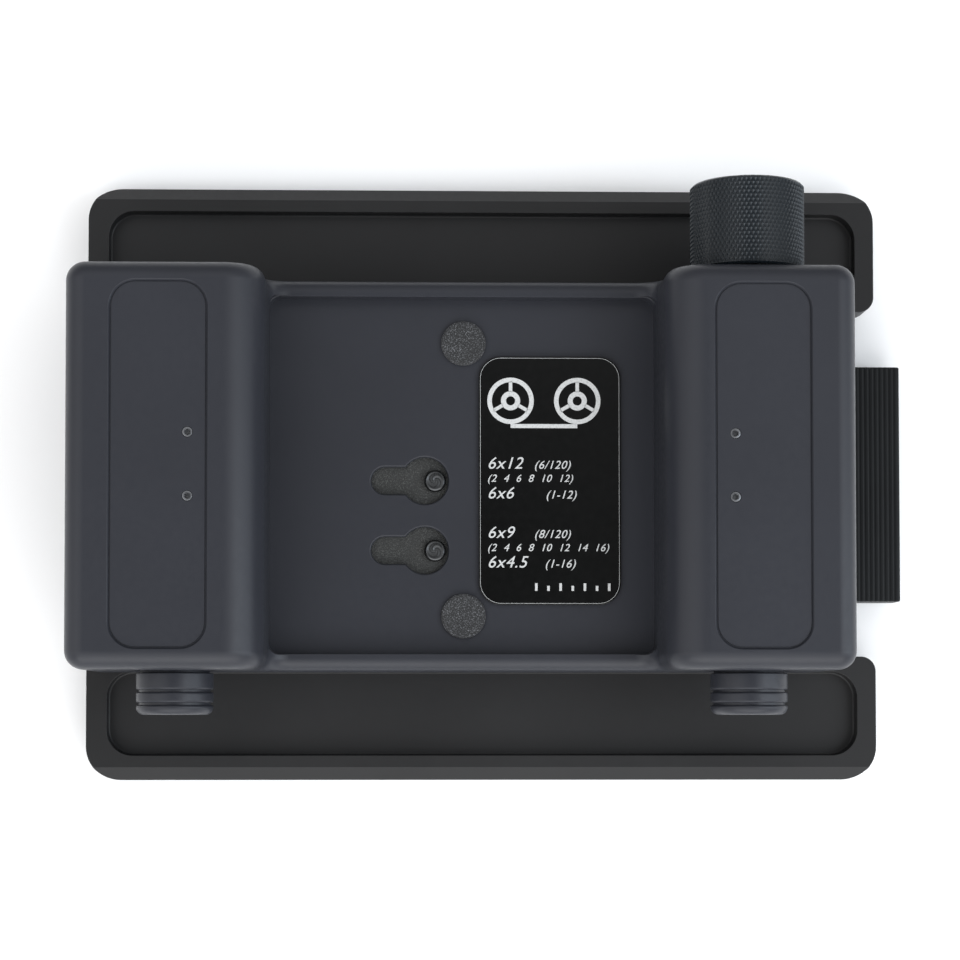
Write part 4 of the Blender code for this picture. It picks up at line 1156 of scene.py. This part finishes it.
repaint(STEEL_TURNED, "winding_shaft", "knob_screw", "supply_pivot", "spool_pin_left", "spool_pin_right")
repaint(STEEL_TURNED, "guide_roller_left", "guide_roller_right", "roller_axle_left", "roller_axle_right")
repaint(STEEL, "roll_spring_left", "roll_spring_right", "grip_rivet_1", "grip_rivet_2")
repaint(STEEL, *(f"cover_screw_{i}" for i in range(1, 5)), *(f"film_gate_screw_{i}" for i in range(1, 5)))
repaint(STEEL, "pressure_post_lower", "pressure_post_upper", "window_plate_screw_1", "window_plate_screw_2")
repaint(BRASS, "winding_clutch", "pin_bush_left", "pin_bush_right")
repaint(SPOOL_BLACK, "knob_washer")
repaint(RED_GLASS, "red_window_upper", "red_window_lower")
repaint(FLOCK_DARK, "slide_light_seal", "cover_gasket")


# ---------------------------------------------------------------- floor, light and camera


def build_floor():
    bm = bmesh.new()
    bmesh.ops.create_circle(bm, cap_ends=True, segments=128, radius=9000)
    floor = to_object("floor", bm)
    floor.data.materials.append(make_floor())


def area_light(name, place, target, size, watts, colour=(1, 1, 1)):
    data = bpy.data.lights.new(name, "AREA")
    data.shape = "RECTANGLE"
    data.size, data.size_y = size
    data.energy = watts
    data.color = colour
    lamp = bpy.data.objects.new(name, data)
    lamp.location = place
    lamp.rotation_euler = (Vector(target) - Vector(place)).to_track_quat("-Z", "Y").to_euler()
    bpy.context.scene.collection.objects.link(lamp)


def build_light():
    world = bpy.data.worlds.new("studio")
    bpy.context.scene.world = world
    world.use_nodes = True
    tree = world.node_tree
    sky = tree.nodes["Background"]
    direction = tree.nodes.new("ShaderNodeTexCoord").outputs["Generated"]
    split = tree.nodes.new("ShaderNodeSeparateXYZ")
    tree.links.new(direction, split.inputs["Vector"])
    ramp = tree.nodes.new("ShaderNodeValToRGB")
    tree.links.new(split.outputs["Z"], ramp.inputs["Fac"])
    levels = ((0.0, 0.42), (0.1, 0.3), (0.4, 0.42), (0.75, 0.9), (0.9, 1.0), (0.96, 0.35), (1.0, 0.05))
    while len(ramp.color_ramp.elements) < len(levels):
        ramp.color_ramp.elements.new(0.5)
    for element, (position, level) in zip(ramp.color_ramp.elements, levels):
        element.position = position
        element.color = (level * 0.985, level * 0.99, level, 1)
    tree.links.new(ramp.outputs["Color"], sky.inputs["Color"])
    side = tree.nodes.new("ShaderNodeMapRange")
    tree.links.new(split.outputs["Y"], side.inputs["Value"])
    for key, number in (("From Min", -1.0), ("From Max", 1.0), ("To Min", 2.7), ("To Max", 0.75)):
        side.inputs[key].default_value = number
    tree.links.new(side.outputs["Result"], sky.inputs["Strength"])
    area_light("front", (0.0, -0.8, 0.45), (0, 0, 0.02), (1.3, 0.5), 5)
    area_light("left", (-0.85, -0.1, 0.3), (0, 0, 0.02), (0.4, 1.0), 1)
    area_light("right", (0.75, -0.1, 0.5), (0, 0, 0.02), (0.3, 1.0), 3.8, (0.8, 0.9, 1.0))


def build_camera():
    data = bpy.data.cameras.new("camera")
    data.sensor_width = 36.0
    data.lens = 90.0
    data.shift_x, data.shift_y = 0.035, 0.15
    camera = bpy.data.objects.new("camera", data)
    yaw, pitch = radians(-1.454), radians(2.063)
    back = Vector((sin(yaw) * cos(pitch), -sin(pitch), cos(yaw) * cos(pitch)))
    right = Vector((cos(yaw), 0, -sin(yaw)))
    up = back.cross(right)
    turn = Matrix((right, up, back)).transposed().to_4x4()
    camera.matrix_world = Matrix.Translation((-0.02231, -0.04616, 0.49504)) @ turn
    data.clip_start, data.clip_end = 0.02, 20
    bpy.context.scene.collection.objects.link(camera)
    bpy.context.scene.camera = camera


build_floor()
build_light()
build_camera()
bpy.context.scene.view_settings.view_transform = "Standard"
